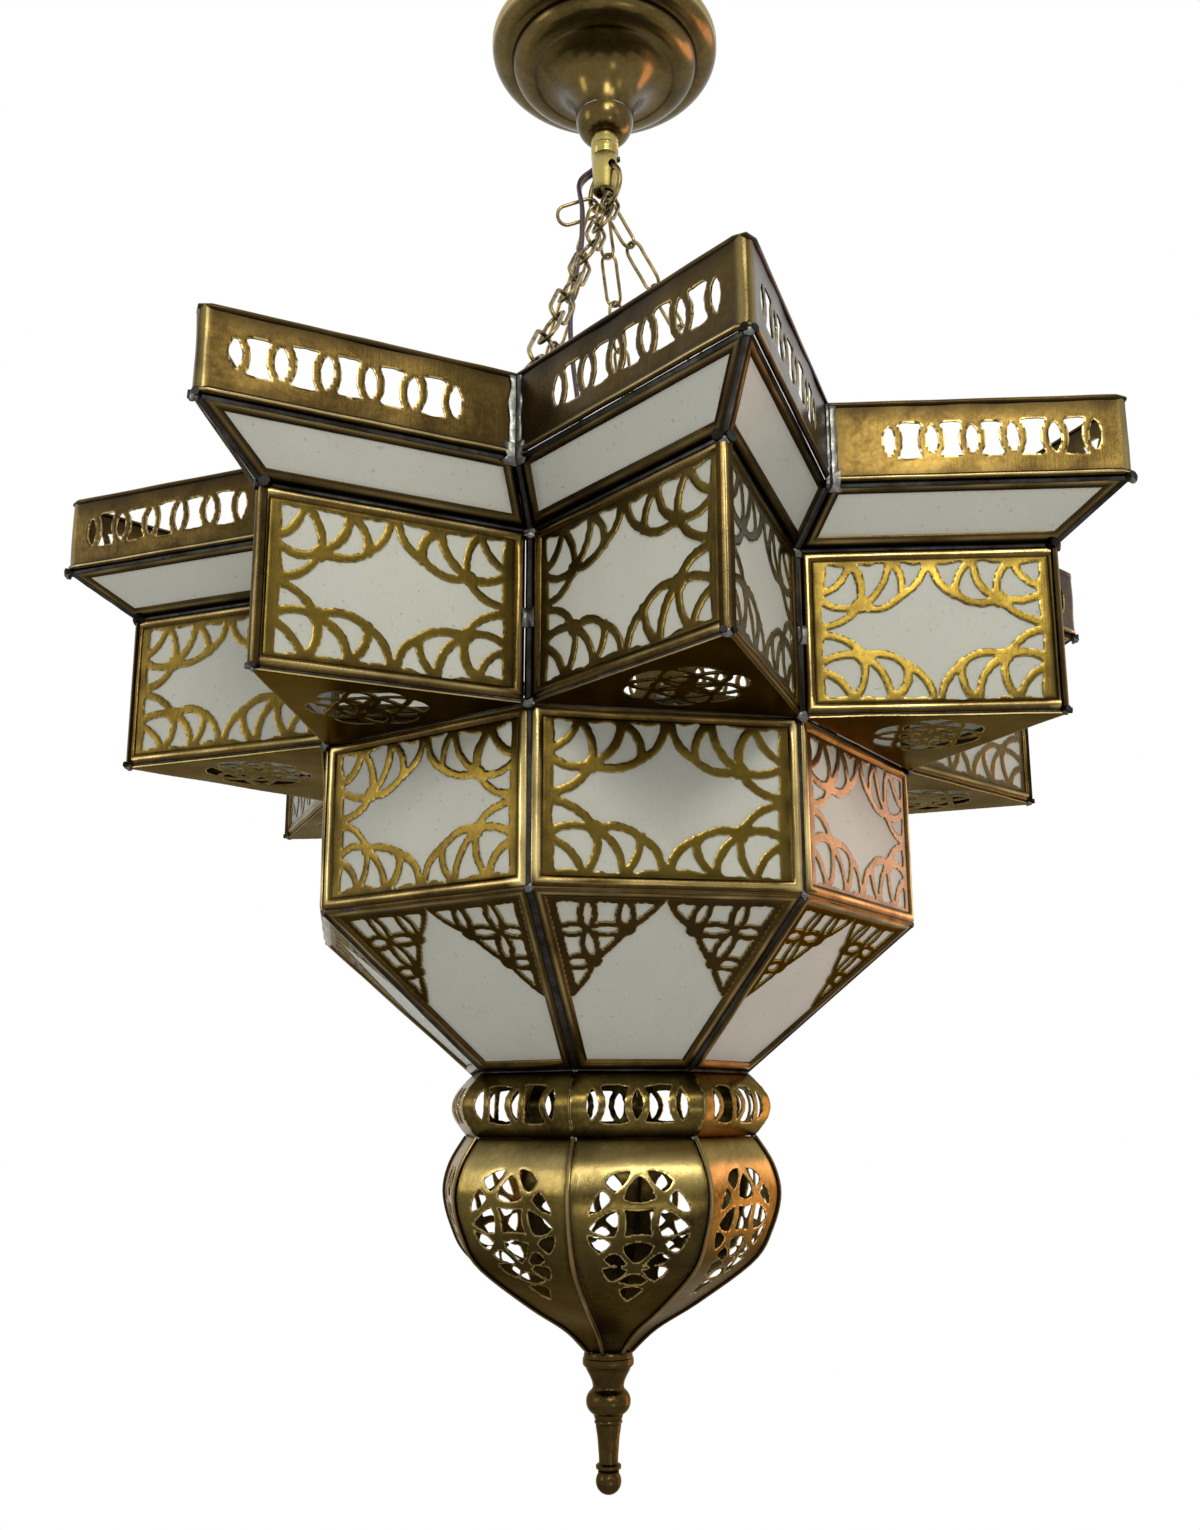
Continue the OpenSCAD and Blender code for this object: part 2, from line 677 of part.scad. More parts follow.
// Openings of one onion facet, right of its middle, as [across, drop below the field's top],
// drawn on an onion of the radius and height given here and stretched with the real one
drawn_r = 87;
drawn_h = 104;
field_top = 14 * onion_h / drawn_h;
function stretched(p) = [for (q = p) [q.x * onion_r / drawn_r, q.y * onion_h / drawn_h]];
onion_sides = [
    [[4.2, 0.3], [15.5, 4.8], [11, 9.6]], [[17.5, 9.3], [14, 13.2], [23.3, 18.5]],
    [[10.8, 18], [22.5, 25.2], [11.8, 28.7]], [[13.3, 33], [23.2, 29], [18, 36.8]],
    [[4.6, 42.3], [10.5, 37.2], [14.5, 40]], [[3.9, 45.2], [14.7, 44.3], [9.9, 49.8]]];
onion_middles = [
    [[0, 2.5], [-6.8, 12.8], [6.8, 12.8]], [[-6.8, 33.8], [0, 41.5], [6.8, 33.8]],
    [[0, 46.8], [-6.4, 50.5], [6.4, 50.5]], [[-5, 54.6], [5, 54.6], [0, 60.4]]];
onion_middle_opening = [[-7.2, 17.3], [0, 18], [7.2, 17.3], [6, 23], [6.3, 29.3], [0, 28.2],
    [-6.3, 29.3], [-6, 23]];

// A three-cornered opening whose sides bow out from its own middle
function bowed_out(p, bow) =
    let (m = (p[0] + p[1] + p[2]) / 3)
    [for (i = [0 : 2], t = [0, 0.5])
        let (a = p[i], b = p[(i + 1) % 3], n = -inward(a, b, m))
        a + (b - a) * t + n * bow * norm(b - a) * 4 * t * (1 - t)];

onion_bow = 0.07;

module onion_piercing() {
    for (t = onion_middles)
        polygon(stretched(bowed_out(t, onion_bow)));
    polygon(stretched(onion_middle_opening));
    for (s = [-1, 1], t = onion_sides)
        polygon([for (q = stretched(bowed_out(t, onion_bow))) sided(q, s)]);
}

module onion_gores() {
    color(brass)
        for (k = [0 : sides - 1])
            rotate([0, 0, k * step])
                difference() {
                    facet_shell(onion_section, rib_w / 2 + gap);
                    translate([0, 0, -collar_foot_z - field_top])
                        rotate([90, 0, 0])
                            linear_extrude(reach)
                                mirror([0, 1])
                                    onion_piercing();
                }
}

rib_rise = 0.8;
rib_root = 0.4;

module onion_ribs() {
    color(brass)
        for (k = [0 : sides - 1])
            rotate([0, 0, (k + 0.5) * step])
                sideways(rib_w)
                    polygon(concat(seam_section(moved_in(onion_section, -rib_rise)),
                        flipped(seam_section(moved_in(onion_section, shell_t + rib_root)))));
}

// Turned parts
module turned(p) {
    rotate_extrude($fn = 96)
        polygon(p);
}
function arc(c, r, a1, a2, n) =
    [for (i = [0 : n]) let (a = a1 + (a2 - a1) * i / n) c + r * [cos(a), sin(a)]];

stud_r = 3;
stud_l = 8;

ferrule_neck_r = 7.7;

module ferrule() {
    top = -onion_foot_z - gap;
    bore_r = stud_r + fit / 2;
    color(brass)
        turned([[bore_r, top], [onion_foot_r, top], [ferrule_r - 0.6, top - 0.18 * ferrule_h],
            [ferrule_r, top - 0.31 * ferrule_h], [ferrule_r - 0.8, top - 0.43 * ferrule_h],
            [ferrule_r - 2.6, top - 0.57 * ferrule_h], [ferrule_neck_r + 0.7, top - 0.78 * ferrule_h],
            [ferrule_neck_r, -ferrule_foot_z], [bore_r, -ferrule_foot_z]]);
}

// Finial: a squat ball on a waisted shaft that ends in a ring and a small ball
squat = 6.8;
shaft_top_r = 6.6;
shaft_r = 4.7;
end_ball_r = 6.3;
ball_from = 55;
ball_to = -62;

module finial() {
    top = -ferrule_foot_z - gap;
    ball_z = top - squat;
    neck_z = ball_z - squat - 2.6;
    end_z = -finial_foot_z + end_ball_r;
    ring_foot = end_z + 0.9 * end_ball_r;
    color(brass)
        turned(concat([[0, stud_l - ferrule_foot_z], [stud_r, stud_l - ferrule_foot_z],
            [stud_r, top], [ferrule_neck_r, top]],
            arc([ball_r - squat, ball_z], squat, ball_from, ball_to, 8),
            [[shaft_top_r, neck_z], [shaft_top_r - 0.4, neck_z - 3], [shaft_r + 0.5, neck_z - 10],
            [shaft_r, ring_foot + 3.3], [end_ball_r, ring_foot + 1.6], [end_ball_r, ring_foot],
            [end_ball_r - 1.3, ring_foot - 1]],
            arc([0, end_z], end_ball_r, 40, -90, 9)));
}

// Ceiling rose, bowl and stem
function rose_profile(in) =
    concat([[rose_r - in, 0], [rose_r - in, in - rose_lip_h]],
        [for (i = [1 : 5]) let (a = i * 18)
            [rose_step_1_r - in + (rose_r - rose_step_1_r) * cos(a),
                in - rose_lip_h - (rose_step_1_z - rose_lip_h) * sin(a)]],
        [[rose_step_1_r - 1.4 - in, in - rose_step_1_z]],
        [for (i = [1 : 5]) let (a = i * 18)
            [rose_step_2_r - in + (rose_step_1_r - 1.4 - rose_step_2_r) * cos(a),
                in - rose_step_1_z - (rose_step_2_z - rose_step_1_z) * sin(a)]],
        [for (i = [1 : 8]) let (a = i / 8)
            [rose_step_2_r - 1.4 - in + (rose_neck_r - rose_step_2_r + 1.4) * sin(a * 90),
                in - rose_step_2_z - (rose_h - rose_step_2_z) * (1 - cos(a * 90))]]);

module rose() {
    color(brass)
        turned(concat(rose_profile(0), flipped(rose_profile(spun_t))));
}

function bowl_profile(in) =
    [for (i = [0 : 6]) let (a = i * 15)
        [stem_top_r + fit + (rose_neck_r - in - stem_top_r - fit) * cos(a),
            -rose_h - gap - (bowl_h - gap - in) * sin(a)]];

nipple_r = 5;
nipple_bore_r = 3.7;
nipple_grip = 7.5;
nipple_foot_z = bowl_foot_z + nipple_grip;
strap_t = 2.5;

module bowl() {
    hole_r = nipple_r + fit / 2;
    color(brass)
        turned(concat(bowl_profile(0), [[hole_r, -bowl_foot_z], [hole_r, spun_t - bowl_foot_z]],
            flipped(bowl_profile(spun_t))));
}

module ceiling_strap() {
    color("silver")
        difference() {
            translate([-strap_l / 2, -strap_w / 2, -strap_t])
                cube([strap_l, strap_w, strap_t]);
            for (s = [-1, 1])
                translate([s * screw_spacing / 2, 0, -strap_t - 1])
                    cylinder(r = screw_hole_r, h = strap_t + 2, $fn = 48);
            translate([0, 0, -strap_t - 1])
                cylinder(r = nipple_r + fit / 2, h = strap_t + 2, $fn = 48);
        }
}

// Nuts that lock the nipple to the strap and to the floor of the bowl
nut_h = 3;
nut_r = 8;
lower_nut_z = bowl_foot_z - spun_t - gap - nut_h;

module nipple_nuts() {
    color("silver")
        for (z = [strap_t + gap, lower_nut_z])
            translate([0, 0, -z - nut_h])
                difference() {
                    cylinder(r = nut_r, h = nut_h, $fn = 6);
                    translate([0, 0, -1])
                        cylinder(r = nipple_r + fit / 2, h = nut_h + 2, $fn = 48);
                }
}

module nipple() {
    color("goldenrod")
        translate([0, 0, -nipple_foot_z])
            difference() {
                cylinder(r = nipple_r, h = nipple_foot_z - gap, $fn = 64);
                translate([0, 0, -1])
                    cylinder(r = nipple_bore_r, h = nipple_foot_z + 2, $fn = 64);
            }
}

function across(r, z) = at(r, cross_angle, z);
cross_hole_r = 3.3;
cord_slot_l = 9;
grub_angle = 75;
grub_rise = 7;
grub_z = cross_z - grub_rise;
grub_r = 1.6;
groove = 0.35;

module stem() {
    top = -bowl_foot_z - gap;
    color(brass)
        difference() {
            turned([[stem_bore_r, top], [stem_top_r, top],
                [stem_top_r, top - 6], [stem_top_r - groove, top - 6.6],
                [stem_top_r, top - 7.2], [stem_top_r - 0.2, top - 12],
                [stem_end_r + 0.2, -stem_end_z + 5], [stem_end_r, -stem_end_z],
                [stem_bore_r, -stem_end_z]]);
            rotate([0, 0, cross_angle]) {
                translate([0, 0, -cross_z])
                    rotate([90, 0, 0])
                        cylinder(r = cross_hole_r, h = 2 * stem_top_r, $fn = 64, center = true);
                translate([-cross_hole_r, 0, -cross_z])
                    cube([2 * cross_hole_r, 2 * stem_top_r, cord_slot_l]);
            }
            rotate([0, 0, grub_angle])
                translate([0, 0, -grub_z])
                    rotate([90, 0, 0])
                        cylinder(r = grub_r + gap, h = 2 * stem_top_r, $fn = 48);
        }
}

module grub_screw() {
    color("dimgray")
        rotate([0, 0, grub_angle])
            translate([0, -stem_bore_r - 0.2, -grub_z])
                rotate([90, 0, 0])
                    difference() {
                        cylinder(r = grub_r, h = 4.4, $fn = 48);
                        translate([-grub_r - 1, -0.3, 3.6])
                            cube([2 * grub_r + 2, 0.6, 2]);
                    }
}

// Ring that hangs in the cross hole: its wire bends down where it passes through the wall
ring_r = (ring_d - ring_wire) / 2;
ring_bend = ring_r - sqrt(ring_r * ring_r - stem_top_r * stem_top_r);
ring_top_z = -cross_z - cross_hole_r + ring_bend + ring_wire / 2 + gap;
ring_z = ring_top_z - ring_r;

module loop(r, wire) {
    rotate_extrude($fn = 96)
        translate([r, 0])
            circle(r = wire / 2, $fn = 32);
}

module hang_ring() {
    color(brass)
        translate([0, 0, ring_z])
            rotate([0, 0, cross_angle])
                rotate([0, 90, 0])
                    loop(ring_r, ring_wire);
}

// Chains: each runs straight from the ring to an eye inside a valley of the gallery
// The first number is the valley's angle, the second the hook's place round the ring
chain_ends = [[-22.5, 34], [112.5, 11.5], [157.5, -11.5], [202.5, -34]];
eye_r = 4;
eye_wire = 1.8;
eye_stalk_r = 0.7;
// How fast the room inside a valley's walls grows with the distance from the valley
valley_room = gallery_out * [sin(half), -cos(half)];
eye_inset = (1.5 * bead_r + fit + eye_r + eye_wire / 2) / valley_room;
eye_seat_inset = (gallery_t + fit + eye_stalk_r) / valley_room;
eye_drop = 2;
eye_seat_drop = 19;
function hook_point(i) =
    [0, 0, ring_z] + ring_r * (sin(chain_ends[i][1]) * across(1, 0) - cos(chain_ends[i][1]) * [0, 0, 1]);
function eye_point(i) =
    at(gallery_tip_r * valley_share - eye_inset, chain_ends[i][0], -gallery_top_z - eye_drop);
function eye_seat(i) =
    at(gallery_tip_r * valley_share - eye_seat_inset, chain_ends[i][0], -gallery_top_z - eye_seat_drop);
function chain_run(i) = unit(eye_point(i) - hook_point(i));
function chain_side(i) = unit(cross(chain_run(i), cross(across(1, 0), chain_run(i))));
hook_play = ring_wire / 2 + fit;
link_play = link_wire + fit;
// Pitch and length of the links that fill the distance from the ring to the eye
function chain_span(i) = norm(eye_point(i) - hook_point(i)) - eye_r;
function link_pitch(i) =
    (chain_span(i) + hook_play + eye_wire / 2 - link_wire + link_play) / chain_links;
function link_length(i) = round((link_pitch(i) + link_wire + link_play) * 50) / 50;

module link(l, w, wire) {
    r = (w - wire) / 2;
    straight = l / 2 - w / 2;
    for (s = [0, 180])
        rotate([0, 0, s]) {
            translate([0, straight, 0])
                rotate_extrude(angle = 180, $fn = 48)
                    translate([r, 0])
                        circle(r = wire / 2, $fn = 24);
            translate([r, -straight, 0])
                rotate([-90, 0, 0])
                    cylinder(r = wire / 2, h = 2 * straight, $fn = 24);
        }
}

module chain(i) {
    run = chain_run(i);
    face = chain_side(i);
    first = hook_point(i) + run * (link_length(i) / 2 - link_wire - hook_play);
    color(dark_brass)
        for (j = [0 : chain_links - 1])
            let (z = j % 2 == 0 ? face : cross(run, face))
                framed(cross(run, z), run, z, first + run * link_pitch(i) * j)
                    link(link_length(i), link_w, link_wire);
}

spare_hook = -62;
spare_play = hook_play + 1;
spare_run = unit([-0.93, 0.12, -0.36]);
spare_face = unit([0.1, -0.93, -0.3]);

module spare_link() {
    hook = [0, 0, ring_z] + ring_r * (sin(spare_hook) * across(1, 0) - cos(spare_hook) * [0, 0, 1]);
    z = unit(spare_face - (spare_face * spare_run) * spare_run);
    color(brass)
        framed(cross(spare_run, z), spare_run, z,
            hook + spare_run * (spare_link_l / 2 - link_wire - spare_play))
            link(spare_link_l, link_w, link_wire);
}

// Eyes soldered behind the valleys of the gallery
module chain_eyes() {
    color(dark_brass)
        for (i = [0 : len(chain_ends) - 1]) {
            run = chain_run(i);
            z = chain_side(i);
            c = eye_point(i);
            framed(cross(run, z), run, z, c)
                loop(eye_r, eye_wire);
            foot = c + run * eye_r;
            stalk = eye_seat(i) - foot;
            y = unit(cross(unit(stalk), z));
            framed(cross(y, unit(stalk)), y, unit(stalk), foot)
                cylinder(r = eye_stalk_r, h = norm(stalk), $fn = 32);
        }
}

// Flat supply cord, its broad side square to the ring
cord_sides = 8;
cord_side = at(1, cross_angle - 90, 0);
inner_route = [[0, 0, -0.5], [0, 0, -12], [0, 0, -24], [0, 0, -36], [0, 0, -48], [0, 0, -60],
    [0, 0, -69], [0, 0, -72.5], [-0.5, 0.9, -75.6], [-1.9, 3.2, -77.8], [-3.8, 6.6, -78.2]];
outer_route = [[-3.9, 6.75, -78.2], [-6.2, 10.7, -78.4], [-9.5, 12.4, -80.5], [-12.6, 11.8, -85],
    [-14.2, 8.6, -92], [-14.2, 4.5, -100], [-13.4, 2, -109], [-13.4, 1.5, -120], [-13.8, 2.5, -134],
    [-16.5, 4, -150], [-18.7, 6, -166], [-19.5, 7.2, -184], [-18, 7.4, -206], [-15, 6.8, -232],
    [-11.6, 5.7, -262], [-8.5, 4.5, -294], [-5.5, 3, -328], [-3, 1.7, -362], [-1.2, 0.7, -396],
    [-0.3, 0.2, -424], [0, 0, -450.5]];

module cord(route) {
    n = len(route);
    rings = [for (i = [0 : n - 1])
        let (run = unit(route[min(i + 1, n - 1)] - route[max(i - 1, 0)]),
            x = unit(cord_side - (cord_side * run) * run), y = cross(run, x))
        for (j = [0 : cord_sides - 1])
            let (a = (j + 0.5) * 360 / cord_sides)
            route[i] + x * cos(a) * cord_w / 2 + y * sin(a) * cord_t / 2];
    polyhedron(points = rings,
        faces = concat([[for (j = [0 : cord_sides - 1]) j]],
            [[for (j = [cord_sides - 1 : -1 : 0]) (n - 1) * cord_sides + j]],
            [for (i = [0 : n - 2], j = [0 : cord_sides - 1], s = [0, 1])
                let (a = i * cord_sides, b = (j + 1) % cord_sides)
                s == 0 ? [a + j, a + cord_sides + j, a + cord_sides + b]
                    : [a + j, a + cord_sides + b, a + b]]));
}

module inner_cord() {
    color(flex_colour)
        cord(inner_route);
}

module lamp_cord() {
    color(flex_colour)
        cord(outer_route);
}

// Lamp inside the drum, carried by a flat bar across two floors
bar_top_z = star_foot_z + gap - fit - bar_flat_t;
holder_top_z = bar_top_z + bar_flat_t + fit;
holder_foot_z = holder_top_z + holder_h;
holder_stub_h = 8;
holder_shoulder = 8;
socket_r = 14;
socket_depth = 30;
cap_r = 13;
cap_depth = 27;
cap_taper = 5;
tip_r = 4;
bulb_neck = 20;

module lamp_bar() {
    l = 2 * (drum_r * cos(half) + 14);
    color(brass)
        translate([0, 0, -bar_top_z - bar_flat_t])
            difference() {
                translate([-l / 2, -bar_flat_w / 2, 0])
                    cube([l, bar_flat_w, bar_flat_t]);
                translate([0, 0, -1])
                    cylinder(r = nipple_r + fit / 2, h = bar_flat_t + 2, $fn = 48);
            }
}

module lampholder() {
    color("black")
        turned([[nipple_bore_r, holder_stub_h - bar_top_z], [nipple_r, holder_stub_h - bar_top_z],
            [nipple_r, -holder_top_z], [0.75 * holder_r, -holder_top_z],
            [holder_r, -holder_top_z - holder_shoulder], [holder_r, -holder_foot_z],
            [socket_r, -holder_foot_z], [socket_r, socket_depth - holder_foot_z],
            [nipple_bore_r, socket_depth - holder_foot_z]]);
}

module bulb() {
    bulb_z = -holder_foot_z - bulb_r - bulb_neck;
    color("white")
        turned(concat([[0, cap_depth - holder_foot_z], [tip_r, cap_depth - holder_foot_z],
            [cap_r, cap_depth - cap_taper - holder_foot_z], [cap_r, -holder_foot_z],
            [socket_r, -holder_foot_z - 4]],
            arc([0, bulb_z], bulb_r, 50, -90, 14)));
}

ceiling_strap();
nipple_nuts();
nipple();
rose();
bowl();
stem();
grub_screw();
inner_cord();
hang_ring();
chain(0);  // chain_front
chain(1);  // chain_right
chain(2);  // chain_back
chain(3);  // chain_left
spare_link();
chain_eyes();
lamp_cord();
gallery();
flare_frames();
flare_glass();
point_frames(0);  // point_frames_1
point_frames(1);  // point_frames_2
point_frames(2);  // point_frames_3
point_frames(3);  // point_frames_4
point_frames(4);  // point_frames_5
point_frames(5);  // point_frames_6
point_frames(6);  // point_frames_7
point_frames(7);  // point_frames_8
point_glass(0);  // point_glass_1
point_glass(1);  // point_glass_2
point_glass(2);  // point_glass_3
point_glass(3);  // point_glass_4
point_glass(4);  // point_glass_5
point_glass(5);  // point_glass_6
point_glass(6);  // point_glass_7
point_glass(7);  // point_glass_8
point_fretwork(0);  // point_fretwork_1
point_fretwork(1);  // point_fretwork_2
point_fretwork(2);  // point_fretwork_3
point_fretwork(3);  // point_fretwork_4
point_fretwork(4);  // point_fretwork_5
point_fretwork(5);  // point_fretwork_6
point_fretwork(6);  // point_fretwork_7
point_fretwork(7);  // point_fretwork_8
point_floors();
drum_frames();
drum_glass();
drum_fretwork();
hopper_frames();
hopper_glass();
hopper_fretwork();
collar();
onion_gores();
onion_ribs();
ferrule();
finial();
lamp_bar();
lampholder();
bulb();
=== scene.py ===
import functools
import math
import random

import bpy
import numpy as np
from mathutils import Matrix, Vector


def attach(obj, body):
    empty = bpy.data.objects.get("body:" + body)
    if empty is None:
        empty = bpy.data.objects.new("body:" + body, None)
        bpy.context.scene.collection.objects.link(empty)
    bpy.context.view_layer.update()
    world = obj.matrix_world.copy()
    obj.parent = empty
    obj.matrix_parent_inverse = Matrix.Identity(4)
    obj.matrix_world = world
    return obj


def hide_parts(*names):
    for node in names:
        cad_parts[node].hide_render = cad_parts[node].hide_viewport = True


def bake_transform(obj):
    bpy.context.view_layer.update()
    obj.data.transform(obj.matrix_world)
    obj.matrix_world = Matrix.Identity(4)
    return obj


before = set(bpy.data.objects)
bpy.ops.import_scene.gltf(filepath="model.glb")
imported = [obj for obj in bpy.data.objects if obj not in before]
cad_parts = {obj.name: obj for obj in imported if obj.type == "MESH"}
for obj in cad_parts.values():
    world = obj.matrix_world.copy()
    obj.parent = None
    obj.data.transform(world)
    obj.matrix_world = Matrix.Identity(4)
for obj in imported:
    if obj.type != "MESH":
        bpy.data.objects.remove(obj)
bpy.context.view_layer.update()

MM = 0.001

# Sizes in millimetres. Names with FOOT or TOP are depths below the ceiling, and GAP is the play at joints.
SIDES = 8
STEP = 360 / SIDES
HALF = STEP / 2
ROSE_R, ROSE_LIP, ROSE_H, ROSE_NECK_R = 68, 3, 49, 17.2
ROSE_STEPS = ((57, 12), (43, 21))
SPUN_T = 0.8
BOWL_FOOT = 62.5
STEM_FOOT = 99
STEM_TOP_R, STEM_FOOT_R, STEM_BORE_R = 8.3, 7, 5.2
NIPPLE_R = 5
CROSS_Z, CROSS_ANGLE, CROSS_R = 84, 30, 3.3
SLOT_TOP = 75
GRUB_ANGLE, GRUB_Z = 75, 77
RING_R, RING_WIRE = 13.4, 3.2
RING_CENTRE = -82.67 - RING_R
GALLERY_TOP, GALLERY_FOOT, GALLERY_TIP_R = 320, 359, 287
VALLEY_SHARE = 0.642
FLARE_TIP_R = GALLERY_TIP_R - 1.6
STAR_TIP_R, STAR_TOP, STAR_FOOT = 250, 382.7, 461
STAR_VALLEY_R = STAR_TIP_R * VALLEY_SHARE
GALLERY_VALLEY_R = GALLERY_TIP_R * VALLEY_SHARE
DRUM_R, DRUM_FOOT = 160, 541.6
HOPPER_FOOT_R, HOPPER_FOOT = 73.4, 614.6
COLLAR_FOOT_R, COLLAR_BULGE, COLLAR_FOOT = 75.7, 9.5, 645.6
ONION_R, ONION_FOOT_R, ONION_FOOT = 87, 11.7, 749.6
FERRULE_FOOT = 766.1
FINIAL_FOOT = 816.1
CAME_W = 6
LIP_T, PLATE_T, GLASS_T = 1, 0.8, 2.5
SEAM = 1
GAP = 0.15
PLAY = 2 * GAP
BEAD_R = 1.6
BAR_W = 3.7
LINK_W, LINK_WIRE, CHAIN_LINKS = 13, 2.1, 10
CORD_W, CORD_T = 5.4, 2.8
FINE_CELL = 0.95
LANTERN = "lantern"
DOWN = Vector((0, 0, -1))


# Angles are in degrees, except where they go to the math or numpy functions
def sin(a):
    return math.sin(math.radians(a))


def cos(a):
    return math.cos(math.radians(a))


def at(r, a, z):
    """The point at radius r and angle a, counted from -Y towards +X."""
    return Vector((r * sin(a), -r * cos(a), z))


def turn_about(a):
    """The matrix that turns flat points by the angle a."""
    return np.array(((cos(a), -sin(a)), (sin(a), cos(a))))


def left_of(run):
    """The unit direction to the left of a flat run."""
    return np.array((-run[1], run[0])) / np.linalg.norm(run)


def full_turn(n):
    return np.linspace(0, 2 * math.pi, n, endpoint=False)


def round_pairs(corners):
    """Each corner of an outline with the next one."""
    return zip(corners, corners[1:] + corners[:1])


def share(value):
    """The value held between 0 and 1."""
    return np.clip(value, 0, 1)


def least(*values):
    return functools.reduce(np.minimum, values)


def most(*values):
    return functools.reduce(np.maximum, values)


# Camera: it stands low and looks up, turned a little from the first star point
def set_camera():
    turn, distance, height = 10.47, 723.64, -633.91
    heading, pitch, roll = 10.85, 11.84, -0.24
    focal_px, centre_px, long_px, wide_px = 1376.49, (615.68, 824.11), 1530, 1200
    ahead = Vector((sin(heading) * cos(pitch), cos(heading) * cos(pitch), sin(pitch)))
    right = Vector((cos(heading), -sin(heading), 0))
    up = right.cross(ahead)
    side = right * cos(roll) + up * sin(roll)
    up = up * cos(roll) - right * sin(roll)
    data = bpy.data.cameras.new("camera")
    data.sensor_width = 36
    data.lens = 36 * focal_px / long_px
    data.shift_x = (wide_px / 2 - centre_px[0]) / long_px
    data.shift_y = (centre_px[1] - long_px / 2) / long_px
    data.clip_start = 0.01
    camera = bpy.data.objects.new("camera", data)
    turned_up = Matrix((side, up, -ahead)).transposed().to_4x4()
    camera.matrix_world = Matrix.Translation(at(distance, -turn, height) * MM) @ turned_up
    bpy.context.collection.objects.link(camera)
    bpy.context.scene.camera = camera


set_camera()


# Shader building
def feed(tree, socket, value):
    """Links a socket to another node's output, or sets it to a number or a colour."""
    if isinstance(value, (int, float)):
        socket.default_value = value
    elif isinstance(value, tuple):
        socket.default_value = (*value, 1.0)
    else:
        tree.links.new(value, socket)


def set_inputs(tree, node, **values):
    for label, value in values.items():
        feed(tree, node.inputs[label.replace("_", " ")], value)


def new_group(name, inputs, outputs):
    group = bpy.data.node_groups.new(name, "ShaderNodeTree")
    for way, sockets in (("INPUT", inputs), ("OUTPUT", outputs)):
        for label, kind in sockets:
            group.interface.new_socket(label, in_out=way, socket_type="NodeSocket" + kind)
    return group, group.nodes.new("NodeGroupInput").outputs, group.nodes.new("NodeGroupOutput").inputs


def noise_node(tree, place, scale, detail=3.0, rough=0.5, distortion=0.0):
    node = tree.nodes.new("ShaderNodeTexNoise")
    set_inputs(tree, node, Detail=detail, Roughness=rough, Distortion=distortion, Scale=scale, Vector=place)
    return node.outputs["Fac"]


def maths(tree, kind, a, b=0.0, clamp=False):
    node = tree.nodes.new("ShaderNodeMath")
    node.operation = kind
    node.use_clamp = clamp
    feed(tree, node.inputs[0], a)
    feed(tree, node.inputs[1], b)
    return node.outputs[0]


def plus(tree, a, b, clamp=False):
    return maths(tree, "ADD", a, b, clamp)


def times(tree, a, b, clamp=False):
    return maths(tree, "MULTIPLY", a, b, clamp)


def spread(tree, value, low, high, to_low=0.0, to_high=1.0):
    node = tree.nodes.new("ShaderNodeMapRange")
    set_inputs(tree, node, From_Min=low, From_Max=high, To_Min=to_low, To_Max=to_high, Value=value)
    return node.outputs["Result"]


def mixed(tree, share, a, b):
    node = tree.nodes.new("ShaderNodeMix")
    node.data_type = "RGBA"
    for socket, value in zip([s for s in node.inputs if s.enabled], (share, a, b)):
        feed(tree, socket, value)
    return [s for s in node.outputs if s.enabled][0]


def make_patina_group():
    """Aged brass: clean metal, brown bloom in soft clouds, near black for soil and for painted shade, and a
    bright tone for wear and for painted highlights.
    """
    group, given, out = new_group(
        "patina",
        [("Place", "Vector"), ("Clean", "Color"), ("Aged", "Color"), ("Bright", "Color"), ("Age", "Float"),
         ("Dirt", "Float"), ("Worn", "Float"), ("Cloud Size", "Float")],
        [("Colour", "Color"), ("Cloud", "Float"), ("Grime", "Float")])
    cloud = noise_node(group, given["Place"], given["Cloud Size"], 5, 0.62, 0.6)
    fine = noise_node(group, given["Place"], 420, 3, 0.6)
    both = plus(group, times(group, cloud, 0.75), times(group, fine, 0.25))
    aged = plus(group, spread(group, both, 0.36, 0.64), maths(group, "SUBTRACT", given["Age"], 0.5), True)
    grime = times(group, given["Dirt"], spread(group, fine, 0.2, 0.75, 1.15, 0.7), True)
    worn = times(group, given["Worn"], spread(group, cloud, 0.3, 0.7, 1.1, 0.55), True)
    colour = given["Clean"]
    # The near black here paints shade as well as soil, and the bright tone paints highlights as well as wear.
    for share, tone in ((aged, given["Aged"]), (grime, (0.011, 0.008, 0.005)), (worn, given["Bright"])):
        colour = mixed(group, share, colour, tone)
    for label, value in (("Colour", colour), ("Cloud", aged), ("Grime", grime)):
        feed(group, out[label], value)
    return group


def make_handwork_group():
    """Height of hand-worked sheet: soft dents, a fine grain and hairline scratches."""
    group, given, out = new_group(
        "handwork", [("Place", "Vector"), ("Dents", "Float"), ("Grain", "Float"), ("Scratches", "Float")],
        [("Height", "Float")])
    dents = times(group, noise_node(group, given["Place"], 75, 2, 0.5), given["Dents"])
    grain = times(group, noise_node(group, given["Place"], 1500, 2, 0.6), given["Grain"])
    stretch = group.nodes.new("ShaderNodeVectorMath")
    stretch.operation = "MULTIPLY"
    stretch.inputs[1].default_value = (1.0, 1.0, 0.06)
    feed(group, stretch.inputs[0], given["Place"])
    lines = noise_node(group, stretch.outputs["Vector"], 900, 2, 0.7, 0.4)
    scratches = times(group, lines, given["Scratches"])
    feed(group, out["Height"], plus(group, plus(group, dents, grain), scratches))
    return group


PATINA = make_patina_group()
HANDWORK = make_handwork_group()


